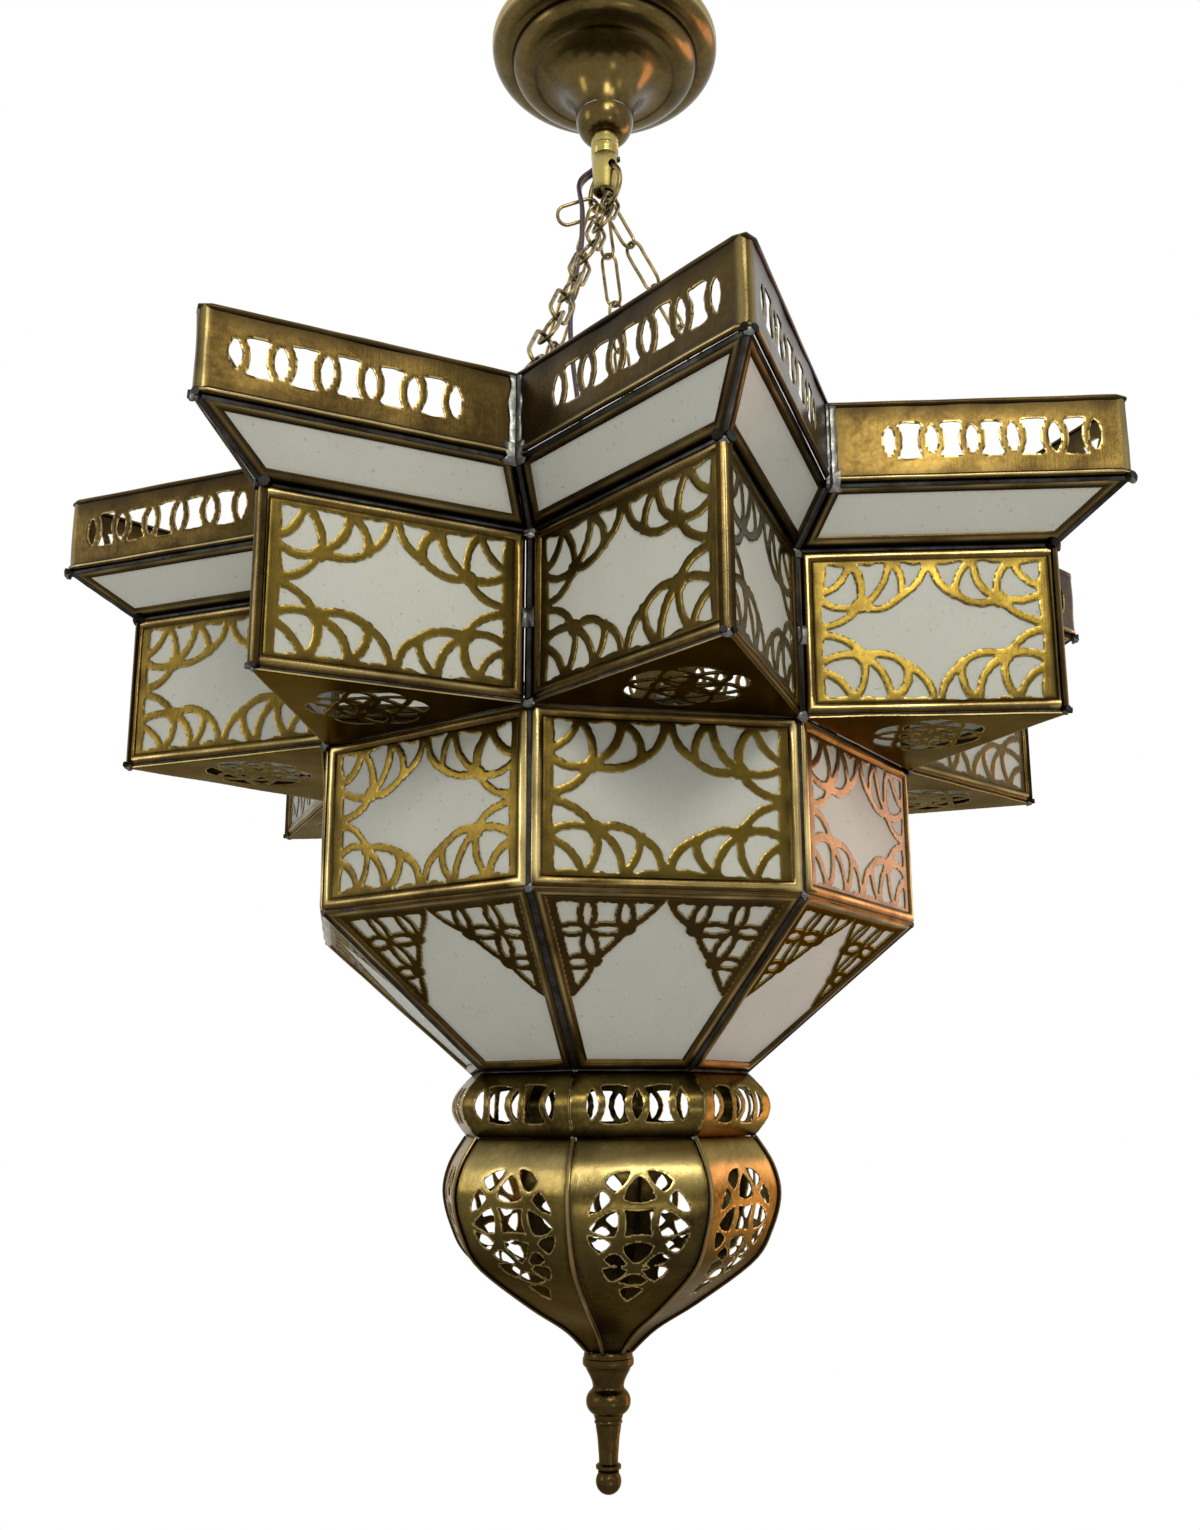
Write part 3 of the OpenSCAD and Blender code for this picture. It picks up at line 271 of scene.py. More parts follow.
def new_material(name):
    material = bpy.data.materials.new(name)
    material.use_nodes = True
    tree = material.node_tree
    place = tree.nodes.new("ShaderNodeTexCoord").outputs["Object"]
    return material, tree, tree.nodes["Principled BSDF"], place


def bump(tree, shader, height, strength, distance):
    node = tree.nodes.new("ShaderNodeBump")
    set_inputs(tree, node, Strength=strength, Distance=distance, Height=height)
    feed(tree, shader.inputs["Normal"], node.outputs["Normal"])


def attribute(tree, name):
    node = tree.nodes.new("ShaderNodeAttribute")
    node.attribute_name = name
    return node.outputs["Fac"]


def use_group(tree, group, **values):
    node = tree.nodes.new("ShaderNodeGroup")
    node.node_tree = group
    set_inputs(tree, node, **values)
    return node.outputs


def metal(name, clean, aged, bright, rough, dents=1.0, grain=0.25, scratches=0.25, age=0.5, cloud=30.0,
          rim=(1.0, 1.0, 1.0), height=(0.35, 0.0004), grimy=True):
    """Aged metal. rough is its roughness where clean and where aged, and rim the tint at its edges."""
    material, tree, shader, place = new_material(name)
    patina = use_group(tree, PATINA, Place=place, Clean=clean, Aged=aged, Bright=bright, Age=age,
                       Cloud_Size=cloud, Dirt=attribute(tree, "dirt"), Worn=attribute(tree, "worn"))
    dull = patina["Cloud"]
    if grimy:
        dull = plus(tree, times(tree, dull, 0.6), times(tree, patina["Grime"], 0.6))
    set_inputs(tree, shader, Base_Color=patina["Colour"], Metallic=1.0, Specular_Tint=rim,
               Roughness=spread(tree, dull, 0.0, 1.0, *rough))
    work = use_group(tree, HANDWORK, Place=place, Dents=dents, Grain=grain, Scratches=scratches)
    bump(tree, shader, work["Height"], *height)
    return material


def frosted_glass():
    """Acid-etched sheet glass: an even haze with a fine sparkle and a few dark specks."""
    material, tree, shader, place = new_material("frosted_glass")
    colour = (0.61, 0.615, 0.545)
    haze = noise_node(tree, place, 45, 4, 0.55)
    grain = noise_node(tree, place, 1100, 2, 0.7)
    specks = spread(tree, noise_node(tree, place, 520, 0, 0.5), 0.77, 0.83)
    tone = plus(tree, times(tree, haze, 0.35), times(tree, grain, 0.65))
    body = mixed(tree, spread(tree, tone, 0.3, 0.7), tuple(c * 0.86 for c in colour), colour)
    set_inputs(tree, shader, Roughness=0.5, Transmission_Weight=0.3, IOR=1.35,
               Base_Color=mixed(tree, times(tree, specks, 0.35), body, (0.16, 0.14, 0.11)))
    bump(tree, shader, grain, 0.25, 0.00015)
    return material


def flex_sheath():
    material, tree, shader, place = new_material("flex_sheath")
    smear = noise_node(tree, place, 160, 3, 0.6)
    set_inputs(tree, shader, Base_Color=mixed(tree, smear, (0.03, 0.016, 0.018), (0.085, 0.054, 0.058)),
               Specular_IOR_Level=0.3, Roughness=spread(tree, smear, 0.3, 0.7, 0.22, 0.42))
    bump(tree, shader, noise_node(tree, place, 900, 2, 0.5), 0.2, 0.0001)
    return material


def plain_finish(name, colour, rough, metallic=0.0, mottle=0.25):
    material, tree, shader, place = new_material(name)
    cloud = noise_node(tree, place, 90, 3, 0.55)
    set_inputs(tree, shader, Base_Color=mixed(tree, cloud, colour, tuple(c * (1 - mottle) for c in colour)),
               Roughness=spread(tree, cloud, 0.3, 0.7, rough, rough + 0.12), Metallic=metallic)
    bump(tree, shader, noise_node(tree, place, 700, 2, 0.5), 0.15, 0.0001)
    return material


# The next colour and each metal's third colour are the bright tone, used for wear and for painted highlights.
CUT = (0.72, 0.56, 0.23)
SPUN_WORK = (0.15, 0.15, 0.1)
SOLDER_WORK = dict(dents=1.6, grain=0.3, scratches=0.1, cloud=110.0, rim=(0.4, 0.4, 0.38),
                   height=(0.5, 0.0005), grimy=False)
CAME_BRASS = metal("came_brass", (0.095, 0.058, 0.015), (0.028, 0.017, 0.005), (0.66, 0.52, 0.22),
                   (0.18, 0.32), 0.6, rim=(0.75, 0.7, 0.6))
BAND_BRASS = metal("band_brass", (0.088, 0.057, 0.015), (0.026, 0.016, 0.005), CUT, (0.22, 0.36), 1.4,
                   cloud=24.0)
FRET_BRASS = metal("fret_brass", (0.12, 0.082, 0.014), (0.058, 0.037, 0.007), (0.32, 0.24, 0.07),
                   (0.2, 0.32), 0.8)
GUSSET_BRASS = metal("gusset_brass", (0.06, 0.038, 0.01), (0.022, 0.014, 0.005), CUT, (0.26, 0.4), 0.8,
                     rim=(0.55, 0.48, 0.36))
SHELL_BRASS = metal("shell_brass", (0.15, 0.108, 0.028), (0.026, 0.017, 0.005), CUT, (0.18, 0.32), 1.2,
                    cloud=26.0, rim=(0.75, 0.64, 0.5))
SPUN_BRASS = metal("spun_brass", (0.132, 0.094, 0.031), (0.055, 0.038, 0.012), CUT, (0.18, 0.3), *SPUN_WORK)
STEM_BRASS = metal("stem_brass", (0.42, 0.34, 0.11), (0.17, 0.13, 0.036), CUT, (0.2, 0.32), *SPUN_WORK,
                   age=0.35)
TURNED_BRASS = metal("turned_brass", (0.062, 0.04, 0.012), (0.022, 0.014, 0.005), CUT, (0.14, 0.27),
                     0.3, 0.15, 1.3, rim=(0.7, 0.62, 0.5))
WIRE_BRASS = metal("wire_brass", (0.36, 0.29, 0.12), (0.07, 0.05, 0.02), CUT, (0.25, 0.45), 0.3, cloud=120.0)
GLASS = frosted_glass()
SOLDER = metal("solder", (0.16, 0.16, 0.15), (0.05, 0.05, 0.045), (0.42, 0.42, 0.4), (0.22, 0.4),
               **SOLDER_WORK)
TINNED = metal("tinned_joint", (0.075, 0.078, 0.075), (0.022, 0.022, 0.02), (0.2, 0.2, 0.19), (0.3, 0.45),
               **SOLDER_WORK)
FLEX = flex_sheath()
STEEL = plain_finish("zinc_steel", (0.55, 0.55, 0.55), 0.3, 1.0)
BLACK_STEEL = plain_finish("black_steel", (0.03, 0.028, 0.026), 0.35, 0.6)
BAKELITE = plain_finish("bakelite", (0.03, 0.02, 0.018), 0.25)
OPAL = plain_finish("opal_glass", (0.85, 0.84, 0.8), 0.2, 0.0, 0.05)


# Mesh building
def new_object(name, points, faces):
    """An object with a plain mesh, its points given in millimetres."""
    mesh = bpy.data.meshes.new(name)
    mesh.from_pydata((np.asarray(points, float) * MM).tolist(), [], faces)
    made = bpy.data.objects.new(name, mesh)
    bpy.context.collection.objects.link(made)
    return made, mesh


def make_piece(name, points, faces, material, node=None, body=LANTERN, dirt=0.0, worn=0.0):
    piece, mesh = new_object(name, points, faces)
    mesh.materials.append(material)
    # Two point masks: one paints soil and shade darker, the other wear and highlights brighter.
    for label, values in (("dirt", dirt), ("worn", worn)):
        layer = mesh.attributes.new(label, "FLOAT", "POINT")
        layer.data.foreach_set("value", np.full(len(points), values, float))
    mesh.polygons.foreach_set("use_smooth", [True] * len(mesh.polygons))
    mesh.set_sharp_from_angle(angle=math.radians(38))
    mesh.update()
    if body:
        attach(piece, body)
    if node:
        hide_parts(node)
    return piece


class Gathered:
    """Several parts that become one piece."""

    def __init__(self):
        self.points, self.faces, self.dirt, self.worn, self.count = [], [], [], [], 0

    def add(self, points, faces, dirt=0.0, worn=0.0):
        self.points.append(np.asarray(points, float))
        self.faces += [tuple(i + self.count for i in f) for f in faces]
        self.dirt.append(np.broadcast_to(dirt, len(points)))
        self.worn.append(np.broadcast_to(worn, len(points)))
        self.count += len(points)

    def piece(self, name, material, node=None):
        """Makes one piece of all that was added."""
        make_piece(name, np.concatenate(self.points), self.faces, material, node,
                   dirt=np.concatenate(self.dirt), worn=np.concatenate(self.worn))


def grid_faces(rows, columns, wrap_rows=False, wrap_columns=True):
    """Quads over a grid of points in rows, each row the points of one cross-section."""
    return [(i * columns + j, i * columns + (j + 1) % columns,
             (i + 1) % rows * columns + (j + 1) % columns, (i + 1) % rows * columns + j)
            for i in range(rows if wrap_rows else rows - 1)
            for j in range(columns if wrap_columns else columns - 1)]


def wobble(points, size, seed):
    """A soft hand-made unevenness between -1 and 1 at each point, its waves about size long."""
    rng = np.random.default_rng(seed)
    points = np.asarray(points, float)
    total = np.zeros(len(points))
    for _ in range(5):
        wave = rng.normal(size=points.shape[1])
        wave *= 2 * math.pi / (size * rng.uniform(0.6, 1.6) * np.linalg.norm(wave))
        total += np.sin(points @ wave + rng.uniform(0, 2 * math.pi))
    return total / 3.2


def drift(p, sizes, seed, reach):
    """How far a hand-cut pattern has strayed across and along at each flat point."""
    return np.stack([wobble(p, size, seed + i) for i, size in enumerate(sizes)], 1) * reach


def turned(profile, segments):
    """A turned part. The profile holds radius and height; where it meets the axis it gets a pole."""
    poles = [end for end in (0, -1) if profile[end][0] < 1e-6]
    rings = profile[int(0 in poles):-1 if -1 in poles else None]
    angles = full_turn(segments)
    points = np.concatenate([np.stack([r * np.sin(angles), -r * np.cos(angles), np.full(segments, z)], 1)
                             for r, z in rings])
    faces = grid_faces(len(rings), segments, wrap_rows=not poles)
    foot = (len(rings) - 1) * segments
    for end in poles:
        pole = len(points)
        points = np.vstack([points, (0, 0, profile[end][1])])
        faces += [(pole, foot + a, foot + b) if end else (pole, b, a)
                  for a, b in round_pairs([*range(segments)])]
    return points, faces


def edge_marks(points, spans):
    """Marks bands of a turned part, each given as top, foot, strength and softness."""
    value = np.zeros(len(points))
    for top, foot, strength, soft in spans:
        inside = share(least(top - points[:, 2], points[:, 2] - foot) / soft + 1)
        value = most(value, inside * strength)
    return value


def lathe(name, profile, material, node, body=LANTERN, segments=96, marks=()):
    points, faces = turned(profile, segments)
    return make_piece(name, points, faces, material, node, body, dirt=edge_marks(points, marks))


def swept(path, section, closed=False, side=None):
    """Sweeps a cross-section along a path. side is the direction of the section's first axis."""
    path = [Vector(p) for p in path]
    n, m = len(path), len(section)
    points = []
    x = Vector(side) if side is not None else None
    for i in range(n):
        before = path[i - 1] if closed or i else path[0]
        after = path[(i + 1) % n] if closed or i < n - 1 else path[-1]
        run = (after - before).normalized()
        if x is None:
            x = run.orthogonal()
        x = (x - run * x.dot(run)).normalized()
        y = run.cross(x)
        points += [path[i] + x * a + y * b for a, b in section]
    faces = grid_faces(n, m, wrap_rows=closed)
    if not closed:
        faces += [tuple(range(m))[::-1], tuple((n - 1) * m + j for j in range(m))]
    return np.array([tuple(p) for p in points]), faces


def round_section(r, n=12):
    return [(r * math.cos(2 * math.pi * j / n), r * math.sin(2 * math.pi * j / n)) for j in range(n)]


# Panels
class Panel:
    """A flat four-cornered panel, seen from outside: low left, low right, high right, high left."""

    def __init__(self, *corners):
        q = [Vector(p) for p in corners]
        self.x = (q[1] - q[0]).normalized()
        self.z = (q[1] - q[0]).cross(q[3] - q[0]).normalized()
        y = self.z.cross(self.x)
        self.origin, self.axes = np.array(q[0]), [np.array(v) for v in (self.x, y, self.z)]
        self.edge = inset([((p - q[0]).dot(self.x), (p - q[0]).dot(y)) for p in q], (GAP, SEAM, GAP, SEAM))

    def place(self, flat, depth):
        flat = np.asarray(flat, float)
        depth = np.broadcast_to(depth, len(flat))[:, None]
        x, y, z = self.axes
        return self.origin + flat[:, :1] * x + flat[:, 1:2] * y + depth * z

    def window(self, lip=CAME_W):
        """The outline inside the channel's lip."""
        return inset(self.edge, (lip,) * 4)


def inset(corners, distances):
    """Moves each edge of a flat outline inwards by its own distance."""
    p = [np.array(c, float) for c in corners]
    normals = [left_of(b - a) for a, b in round_pairs(p)]
    out = []
    for i in range(len(p)):
        n1, n2, d1, d2 = normals[i - 1], normals[i], distances[i - 1], distances[i]
        c = n1 @ n2
        out.append(p[i] + ((d1 - d2 * c) * n1 + (d2 - d1 * c) * n2) / (1 - c * c))
    return out


def slab(r_foot, r_top, a1, a2, foot, top):
    return Panel(at(r_foot[0], a1, -foot), at(r_foot[1], a2, -foot), at(r_top[1], a2, -top),
                 at(r_top[0], a1, -top))


def star_radii(i, tip):
    return tuple(tip if j % 2 == 0 else tip * VALLEY_SHARE for j in (i, i + 1))


def wall_panel(i):
    radii = star_radii(i, STAR_TIP_R)
    return slab(radii, radii, i * HALF, (i + 1) * HALF, STAR_FOOT, STAR_TOP)


def flare_panel(i):
    return slab(star_radii(i, STAR_TIP_R), star_radii(i, FLARE_TIP_R), i * HALF, (i + 1) * HALF, STAR_TOP,
                GALLERY_FOOT)


# Brass channel, half round outside: share of the width from the outer edge, depth, darkness (painted shade
# with tarnish in the grooves at its edges) and brightness (a painted highlight along its ridge)
def came_section():
    turns = 14
    rows = [(0.0, -4.4, 1, 0), (0.0, -3.0, 1, 0), (0.03, -2.4, 1, 0)]
    for i in range(turns + 1):
        a = math.pi * (0.97 - 0.94 * i / turns)
        across, rise = 0.52 + 0.46 * math.cos(a), math.sin(a)
        dark = max(0, 1 - 1.9 * rise) + (0.15 if across < 0.2 else 0)
        bright = 0.7 * max(0, 1 - abs(across - 0.5) / 0.16)
        rows.append((across, 2.1 * (rise - 1), min(1, dark), bright))
    return rows + [(1.0, -2.3, 1, 0), (1.0, -4.4, 1, 0)]


CAME_SHARE, CAME_DEPTH, CAME_DARK, CAME_BRIGHT = np.array(came_section()).T
CAME_CUTS = 14


def came_of(parts, panel, seed, soot, shiny):
    """The rounded channel round one pane, mitred at its corners and a little uneven along its length.

    soot is painted shade laid evenly over the whole channel, and the sides numbered in shiny get a painted
    highlight across their ridge and are painted less dark.
    """
    m = len(CAME_SHARE)
    rows = []
    for (a1, a2), (b1, b2) in zip(round_pairs(panel.edge), round_pairs(panel.window())):
        for u in np.arange(CAME_CUTS) / CAME_CUTS:
            a, b = a1 + (a2 - a1) * u, b1 + (b2 - b1) * u
            rows.append(a + (b - a) * CAME_SHARE[:, None])
    n = len(rows)
    flat = np.concatenate(rows)
    sag = wobble(flat, 26, seed) * 0.22 * np.tile(1 - abs(CAME_SHARE * 2 - 1), n)
    points = panel.place(flat, np.tile(CAME_DEPTH, n) + sag - 0.12)
    dirt = share(np.tile(CAME_DARK, n) + soot)
    worn = np.tile(CAME_BRIGHT, n) * (1 - soot)
    rubbed = share(1.3 - abs(CAME_SHARE - 0.42) / 0.3)
    for i in shiny:
        part = slice(i * CAME_CUTS, (i + 1) * CAME_CUTS)
        worn.reshape(-1, m)[part] = rubbed
        dirt.reshape(-1, m)[part] *= 0.35
    worn = worn * (0.6 + 0.5 * wobble(flat, 40, seed + 1))
    parts.add(points, grid_faces(n, m, wrap_rows=True), dirt, worn)


def glass_of(parts, panel, front):
    """One pane, its faces a little inside the channel, with ground edges."""
    rim = panel.window(CAME_W - 1.4)
    soft = 0.3
    face = inset(rim, (soft,) * 4)
    rows = [(face, -front), (rim, -front - soft), (rim, -front - GLASS_T + soft), (face, -front - GLASS_T)]
    points = np.concatenate([panel.place(r, d) for r, d in rows])
    parts.add(points, [f[::-1] for f in grid_faces(4, 4)] + [(0, 1, 2, 3), (15, 14, 13, 12)])


# Pierced sheet: a field is above zero where the sheet is cut away
def pierced(field, low, high, cell, flipped=False):
    """The solid part of a sheet on a grid: flat points, faces, cut edges, and 1 at the points on a cut."""
    nx, ny = (int(math.ceil((h - l) / cell)) + 1 for l, h in zip(low, high))
    xs = np.linspace(low[0], high[0], nx + 1)
    ys = np.linspace(low[1], high[1], ny + 1)
    grid = np.stack(np.meshgrid(xs, ys, indexing="ij"), -1)
    value = field(grid.reshape(-1, 2)).reshape(nx + 1, ny + 1)
    inside = value < 0
    index = -np.ones(inside.shape, int)
    index[inside] = np.arange(inside.sum())
    points = [tuple(p) for p in grid[inside]]
    cuts = {}

    def crossing(a, b):
        key = (a, b) if a < b else (b, a)
        if key not in cuts:
            va, vb = value[key[0]], value[key[1]]
            t = min(max(va / (va - vb), 0.04), 0.96)
            cuts[key] = len(points)
            points.append(tuple(grid[key[0]] * (1 - t) + grid[key[1]] * t))
        return cuts[key]

    corners = inside[:-1, :-1].astype(int) + inside[1:, :-1] + inside[1:, 1:] + inside[:-1, 1:]
    faces = [(index[i, j], index[i + 1, j], index[i + 1, j + 1], index[i, j + 1])
             for i, j in np.argwhere(corners == 4)]
    edges = []
    for i, j in np.argwhere((corners > 0) & (corners < 4)):
        ring = [(i, j), (i + 1, j), (i + 1, j + 1), (i, j + 1)]
        outline, on_cut = [], []
        for a, b in round_pairs(ring):
            if inside[a]:
                outline.append(int(index[a]))
                on_cut.append(False)
            if inside[a] != inside[b]:
                outline.append(crossing(a, b))
                on_cut.append(True)
        faces.append(tuple(outline))
        edges += [pair for pair, cut in zip(round_pairs(outline), round_pairs(on_cut)) if all(cut)]
    if flipped:
        faces, edges = [f[::-1] for f in faces], [(b, a) for a, b in edges]
    near = (np.arange(len(points)) >= inside.sum()).astype(float)
    return np.array(points), faces, edges, near


def sheet_from(parts, flat, faces, edges, near, place, thickness, dirt):
    """Thickens a pierced sheet and rolls its cut edges over."""
    n = len(flat)
    roll = np.zeros(n)
    for a, b in edges:
        roll[a] = roll[b] = 0.12
    walls = [(b, a, a + n, b + n) for a, b in edges]
    turned_over = [tuple(i + n for i in f[::-1]) for f in faces]
    grime = np.broadcast_to(dirt, n)
    # The cut edges are painted brighter, as edge wear and a painted glint, at half strength on the back.
    worn = near * 0.5
    parts.add(np.concatenate([place(flat, -roll), place(flat, -thickness + roll)]),
              faces + walls + turned_over, np.concatenate([grime * (1 - near), grime]),
              np.concatenate([worn, worn * 0.5]))


def bowed(a, b, bow):
    """A curve from a to b that bows away from the corner at the origin."""
    a, b = np.array(a, float), np.array(b, float)
    side = left_of(b - a)
    if (a + b) @ side < 0:
        side = -side
    t = np.linspace(0, 1, 8)[:, None]
    return a + (b - a) * t + side * bow * np.linalg.norm(b - a) * 4 * t * (1 - t)


def bars_distance(p, curves):
    best = np.full(len(p), 1e9)
    for curve in curves:
        for a, b in zip(curve, curve[1:]):
            run = b - a
            t = share(((p - a) @ run) / (run @ run))
            best = least(best, np.linalg.norm(p - a - t[:, None] * run, axis=1))
    return best


def knots_value(p, knots):
    """Below zero inside round knots, each given as centre and radius."""
    return least(*[np.linalg.norm(p - c, axis=1) - r for c, r in knots])


# The upright panes' pattern: places in one quarter of the window, and the bars between them
FRET_BARS = ((0, 1), (0, 2), (1, 2), (2, 3), (2, 4), (3, 4), (4, 5), (2, 6))


def fret_field(w, h, seed):
    """The pierced plate of an upright pane, folded into one quarter of its window."""
    nodes = [(0, 0.46 * h), (0.29 * w, 0), (0.4 * w, 0.6 * h), (0.63 * w, 0), (0.775 * w, 0.48 * h),
             (w - 1.6, 0), (0, h - 1.6)]
    curves = [bowed(nodes[a], nodes[b], 0.15) for a, b in FRET_BARS]
    knots = [(np.array(nodes[i]), r) for i, r in ((2, 3.7), (4, 2.5), (5, 2.2))]

    def field(p):
        shaken = p + drift(p, (50, 50), seed, 1.3)
        q = np.stack([w - abs(shaken[:, 0] - w), h - abs(shaken[:, 1] - h)], 1)
        rough = wobble(p, 3.4, seed + 2) * 0.22 + wobble(p, 12, seed + 3) * 0.16
        bars = bars_distance(q, curves) - BAR_W / 2 - rough
        knot = knots_value(q, knots) - rough * 2
        lobes = 0.55 * np.cos(q[:, 0] * 0.55)
        side = 4.2 + 0.5 * wobble(p, 16, seed + 4)
        border = least(q[:, 0] - side, q[:, 1] - 1.5 - 0.9 * lobes) - rough
        return least(bars, knot, border)

    return field


def fretwork_of(parts, panel, seed):
    window = panel.window()
    w = (window[1][0] - window[0][0]) / 2
    h = (window[3][1] - window[0][1]) / 2
    held, margin = 0.6, 1.2
    cut = fret_field(w, h, seed)

    def field(p):
        outside = most(abs(p[:, 0] - w) - w - held, abs(p[:, 1] - h) - h - held)
        return most(cut(p), outside)

    flat, faces, edges, near = pierced(field, (-margin,) * 2, (2 * w + margin, 2 * h + margin), FINE_CELL)
    # The plate is painted darker towards the channel's lip, as shade falling from it.
    rim = least(flat[:, 0], 2 * w - flat[:, 0], flat[:, 1], 2 * h - flat[:, 1])
    dirt = share(1.15 - rim / 4.0) * (0.5 + 0.25 * wobble(flat, 14, seed + 6))

    def place(points, depth):
        uneven = wobble(points, 45, seed + 5) * 0.12 - LIP_T - GAP
        return panel.place(points + window[0], depth + uneven)

    sheet_from(parts, flat, faces, edges, near * (rim > 0.4), place, PLATE_T - 0.1, dirt)


def glazed(kind, panels, seed, plate=None, soot=0.0, shiny=(), number="", plate_piece=None,
           plate_brass=FRET_BRASS):
    """The channels, panes and pierced plates of some panels. plate lays out the plate of one of them."""
    frames, panes, plates = Gathered(), Gathered(), Gathered()
    for i, panel in panels:
        came_of(frames, panel, seed + i, soot, shiny(i) if callable(shiny) else shiny)
        glass_of(panes, panel, LIP_T + PLATE_T if plate else LIP_T)
        if plate:
            plate(plates, panel, i)
    frames.piece(f"came_{kind}{number}", CAME_BRASS, f"{kind}_frames{number}")
    panes.piece(f"pane_{kind}{number}", GLASS, f"{kind}_glass{number}")
    if plate:
        plates.piece(plate_piece or f"fretwork_{kind}{number}", plate_brass, f"{kind}_fretwork{number}")


def ring_of_panels(r_foot, r_top, foot, top):
    return [(k, slab((r_foot,) * 2, (r_top,) * 2, k * STEP - HALF, k * STEP + HALF, foot, top))
            for k in range(SIDES)]


def glazed_pieces():
    # The channels that face down, on the flare and the hopper, are painted darker as shade, and the uprights
    # at the star's tips and round the drum get a painted highlight.
    for k in range(SIDES):
        glazed("point", [(i, wall_panel(i)) for i in (2 * k - 1, 2 * k)], 100,
               lambda plates, panel, i: fretwork_of(plates, panel, 200 + 7 * i),
               shiny=lambda i: (3 if i % 2 == 0 else 1,), number=f"_{k + 1}")
    glazed("flare", [(i, flare_panel(i)) for i in range(2 * SIDES)], 400, soot=0.62)
    glazed("drum", ring_of_panels(DRUM_R, DRUM_R, DRUM_FOOT, STAR_FOOT), 500,
           lambda plates, panel, k: fretwork_of(plates, panel, 600 + 7 * k), shiny=(1, 3))
    glazed("hopper", ring_of_panels(HOPPER_FOOT_R, DRUM_R, HOPPER_FOOT, DRUM_FOOT), 700, gussets_of,
           soot=0.3, plate_piece="gussets", plate_brass=GUSSET_BRASS)


# Hopper: places as shares of the gusset's top and side, and the pairs of them that a lens joins
GUSSET_TOP_SHARE = 0.485
GUSSET_SIDE_SHARE = 0.57
GUSSET_NODES = ((0, 0), (1 / 3, 0), (2 / 3, 0), (1, 0), (0, 1 / 3), (0, 2 / 3), (0, 1), (0.29, 0.31),
                (0.63, 0.31), (0.27, 0.64))
GUSSET_LENSES = ((1, 7), (2, 8), (4, 7), (7, 8), (7, 9), (5, 9))


def lens_value(p, x, half_h, half_w):
    """Below zero inside an upright pointed lens."""
    r = (half_h ** 2 + half_w ** 2) / (2 * half_w)
    c = r - half_w
    return most(np.hypot(p[:, 0] - x - c, p[:, 1]), np.hypot(p[:, 0] - x + c, p[:, 1])) - r


def lens_along(p, a, b, half_w):
    """Below zero inside a pointed lens that lies between a and b."""
    length = np.linalg.norm(b - a)
    run = (b - a) / length
    off = p - (a + b) / 2
    across = off @ np.array((-run[1], run[0]))
    return lens_value(np.column_stack([across, off @ run]), 0, 0.37 * length, half_w)


def gussets_of(parts, panel, k):
    for s in (-1, 1):
        gusset_of(parts, panel, s > 0, 760 + 2 * k + s)


def gusset_of(parts, panel, mirrored, seed):
    """A pierced gusset in an upper corner: three rows of overlapping circles."""
    window = panel.window()
    middle = (window[2][0] + window[3][0]) / 2
    along = GUSSET_TOP_SHARE * (window[2] - window[3])
    down = GUSSET_SIDE_SHARE * (window[0] - window[3])
    nodes = [u * along + v * down for u, v in GUSSET_NODES]
    edge = [bowed(nodes[a], nodes[b], 0.05) for a, b in ((6, 9), (9, 8), (8, 3))]
    side, slope = left_of(down), left_of(along - down)
    if side[0] < 0:
        side = -side
    if slope @ along < 0:
        slope = -slope

    def field(p):
        q = p + drift(p, (40, 40), seed, 0.7)
        rough = wobble(p, 3.4, seed + 2) * 0.2 + wobble(p, 12, seed + 3) * 0.15
        opened = least(*[lens_along(q, nodes[a], nodes[b], 1.7) for a, b in GUSSET_LENSES])
        solid = least(most(opened - 3.0, -opened), bars_distance(q, edge) - 1.6)
        knots = knots_value(q, [(nodes[i], r) for i, r in ((7, 2.6), (8, 4.0), (9, 4.0))])
        top_gap, side_gap = -p[:, 1], p @ side
        beyond = (p - along) @ slope
        border = most(least(top_gap - 2.6, side_gap - 3.2), beyond)
        solid = least(solid, knots, border) - rough
        solid = most(solid, beyond - 5.2)
        return most(solid, most(-top_gap, -side_gap) - 0.6)

    low = least(along, down, 0) - 5
    high = most(along, down, 0) + 5

    def place(points, depth):
        points = points + window[3]
        if mirrored:
            points = np.column_stack([2 * middle - points[:, 0], points[:, 1]])
        return panel.place(points, depth - LIP_T - GAP)

    sheet_from(parts, *pierced(field, low, high, FINE_CELL, mirrored), place, PLATE_T - 0.1, 0.35)


# Gallery
LENS_COUNT = 6
ROW_START, ROW_END = 0.135, 0.8
LENS_H, LENS_W = 7.6, 2.7


def chain_of_circles(p, centres, half_h, half_w, top, dome, bar=3.3):
    """Above zero in the openings of a row of overlapping circles.

    The openings are pointed lenses, and domes between them that end bar away from each lens.
    """
    lenses = [lens_value(p, x, half_h, half_w) for x in centres]
    opened = np.min(lenses, axis=0)
    for left, right, x1, x2 in zip(lenses, lenses[1:], centres, centres[1:]):
        middle, reach = (x1 + x2) / 2, (x2 - x1) / 2
        roof = top + dome * (1 - ((p[:, 0] - middle) / reach) ** 2)
        between = most(abs(p[:, 0] - middle) - reach, abs(p[:, 1]) - roof)
        opened = least(opened, most(between, bar - left, bar - right))
    return -opened


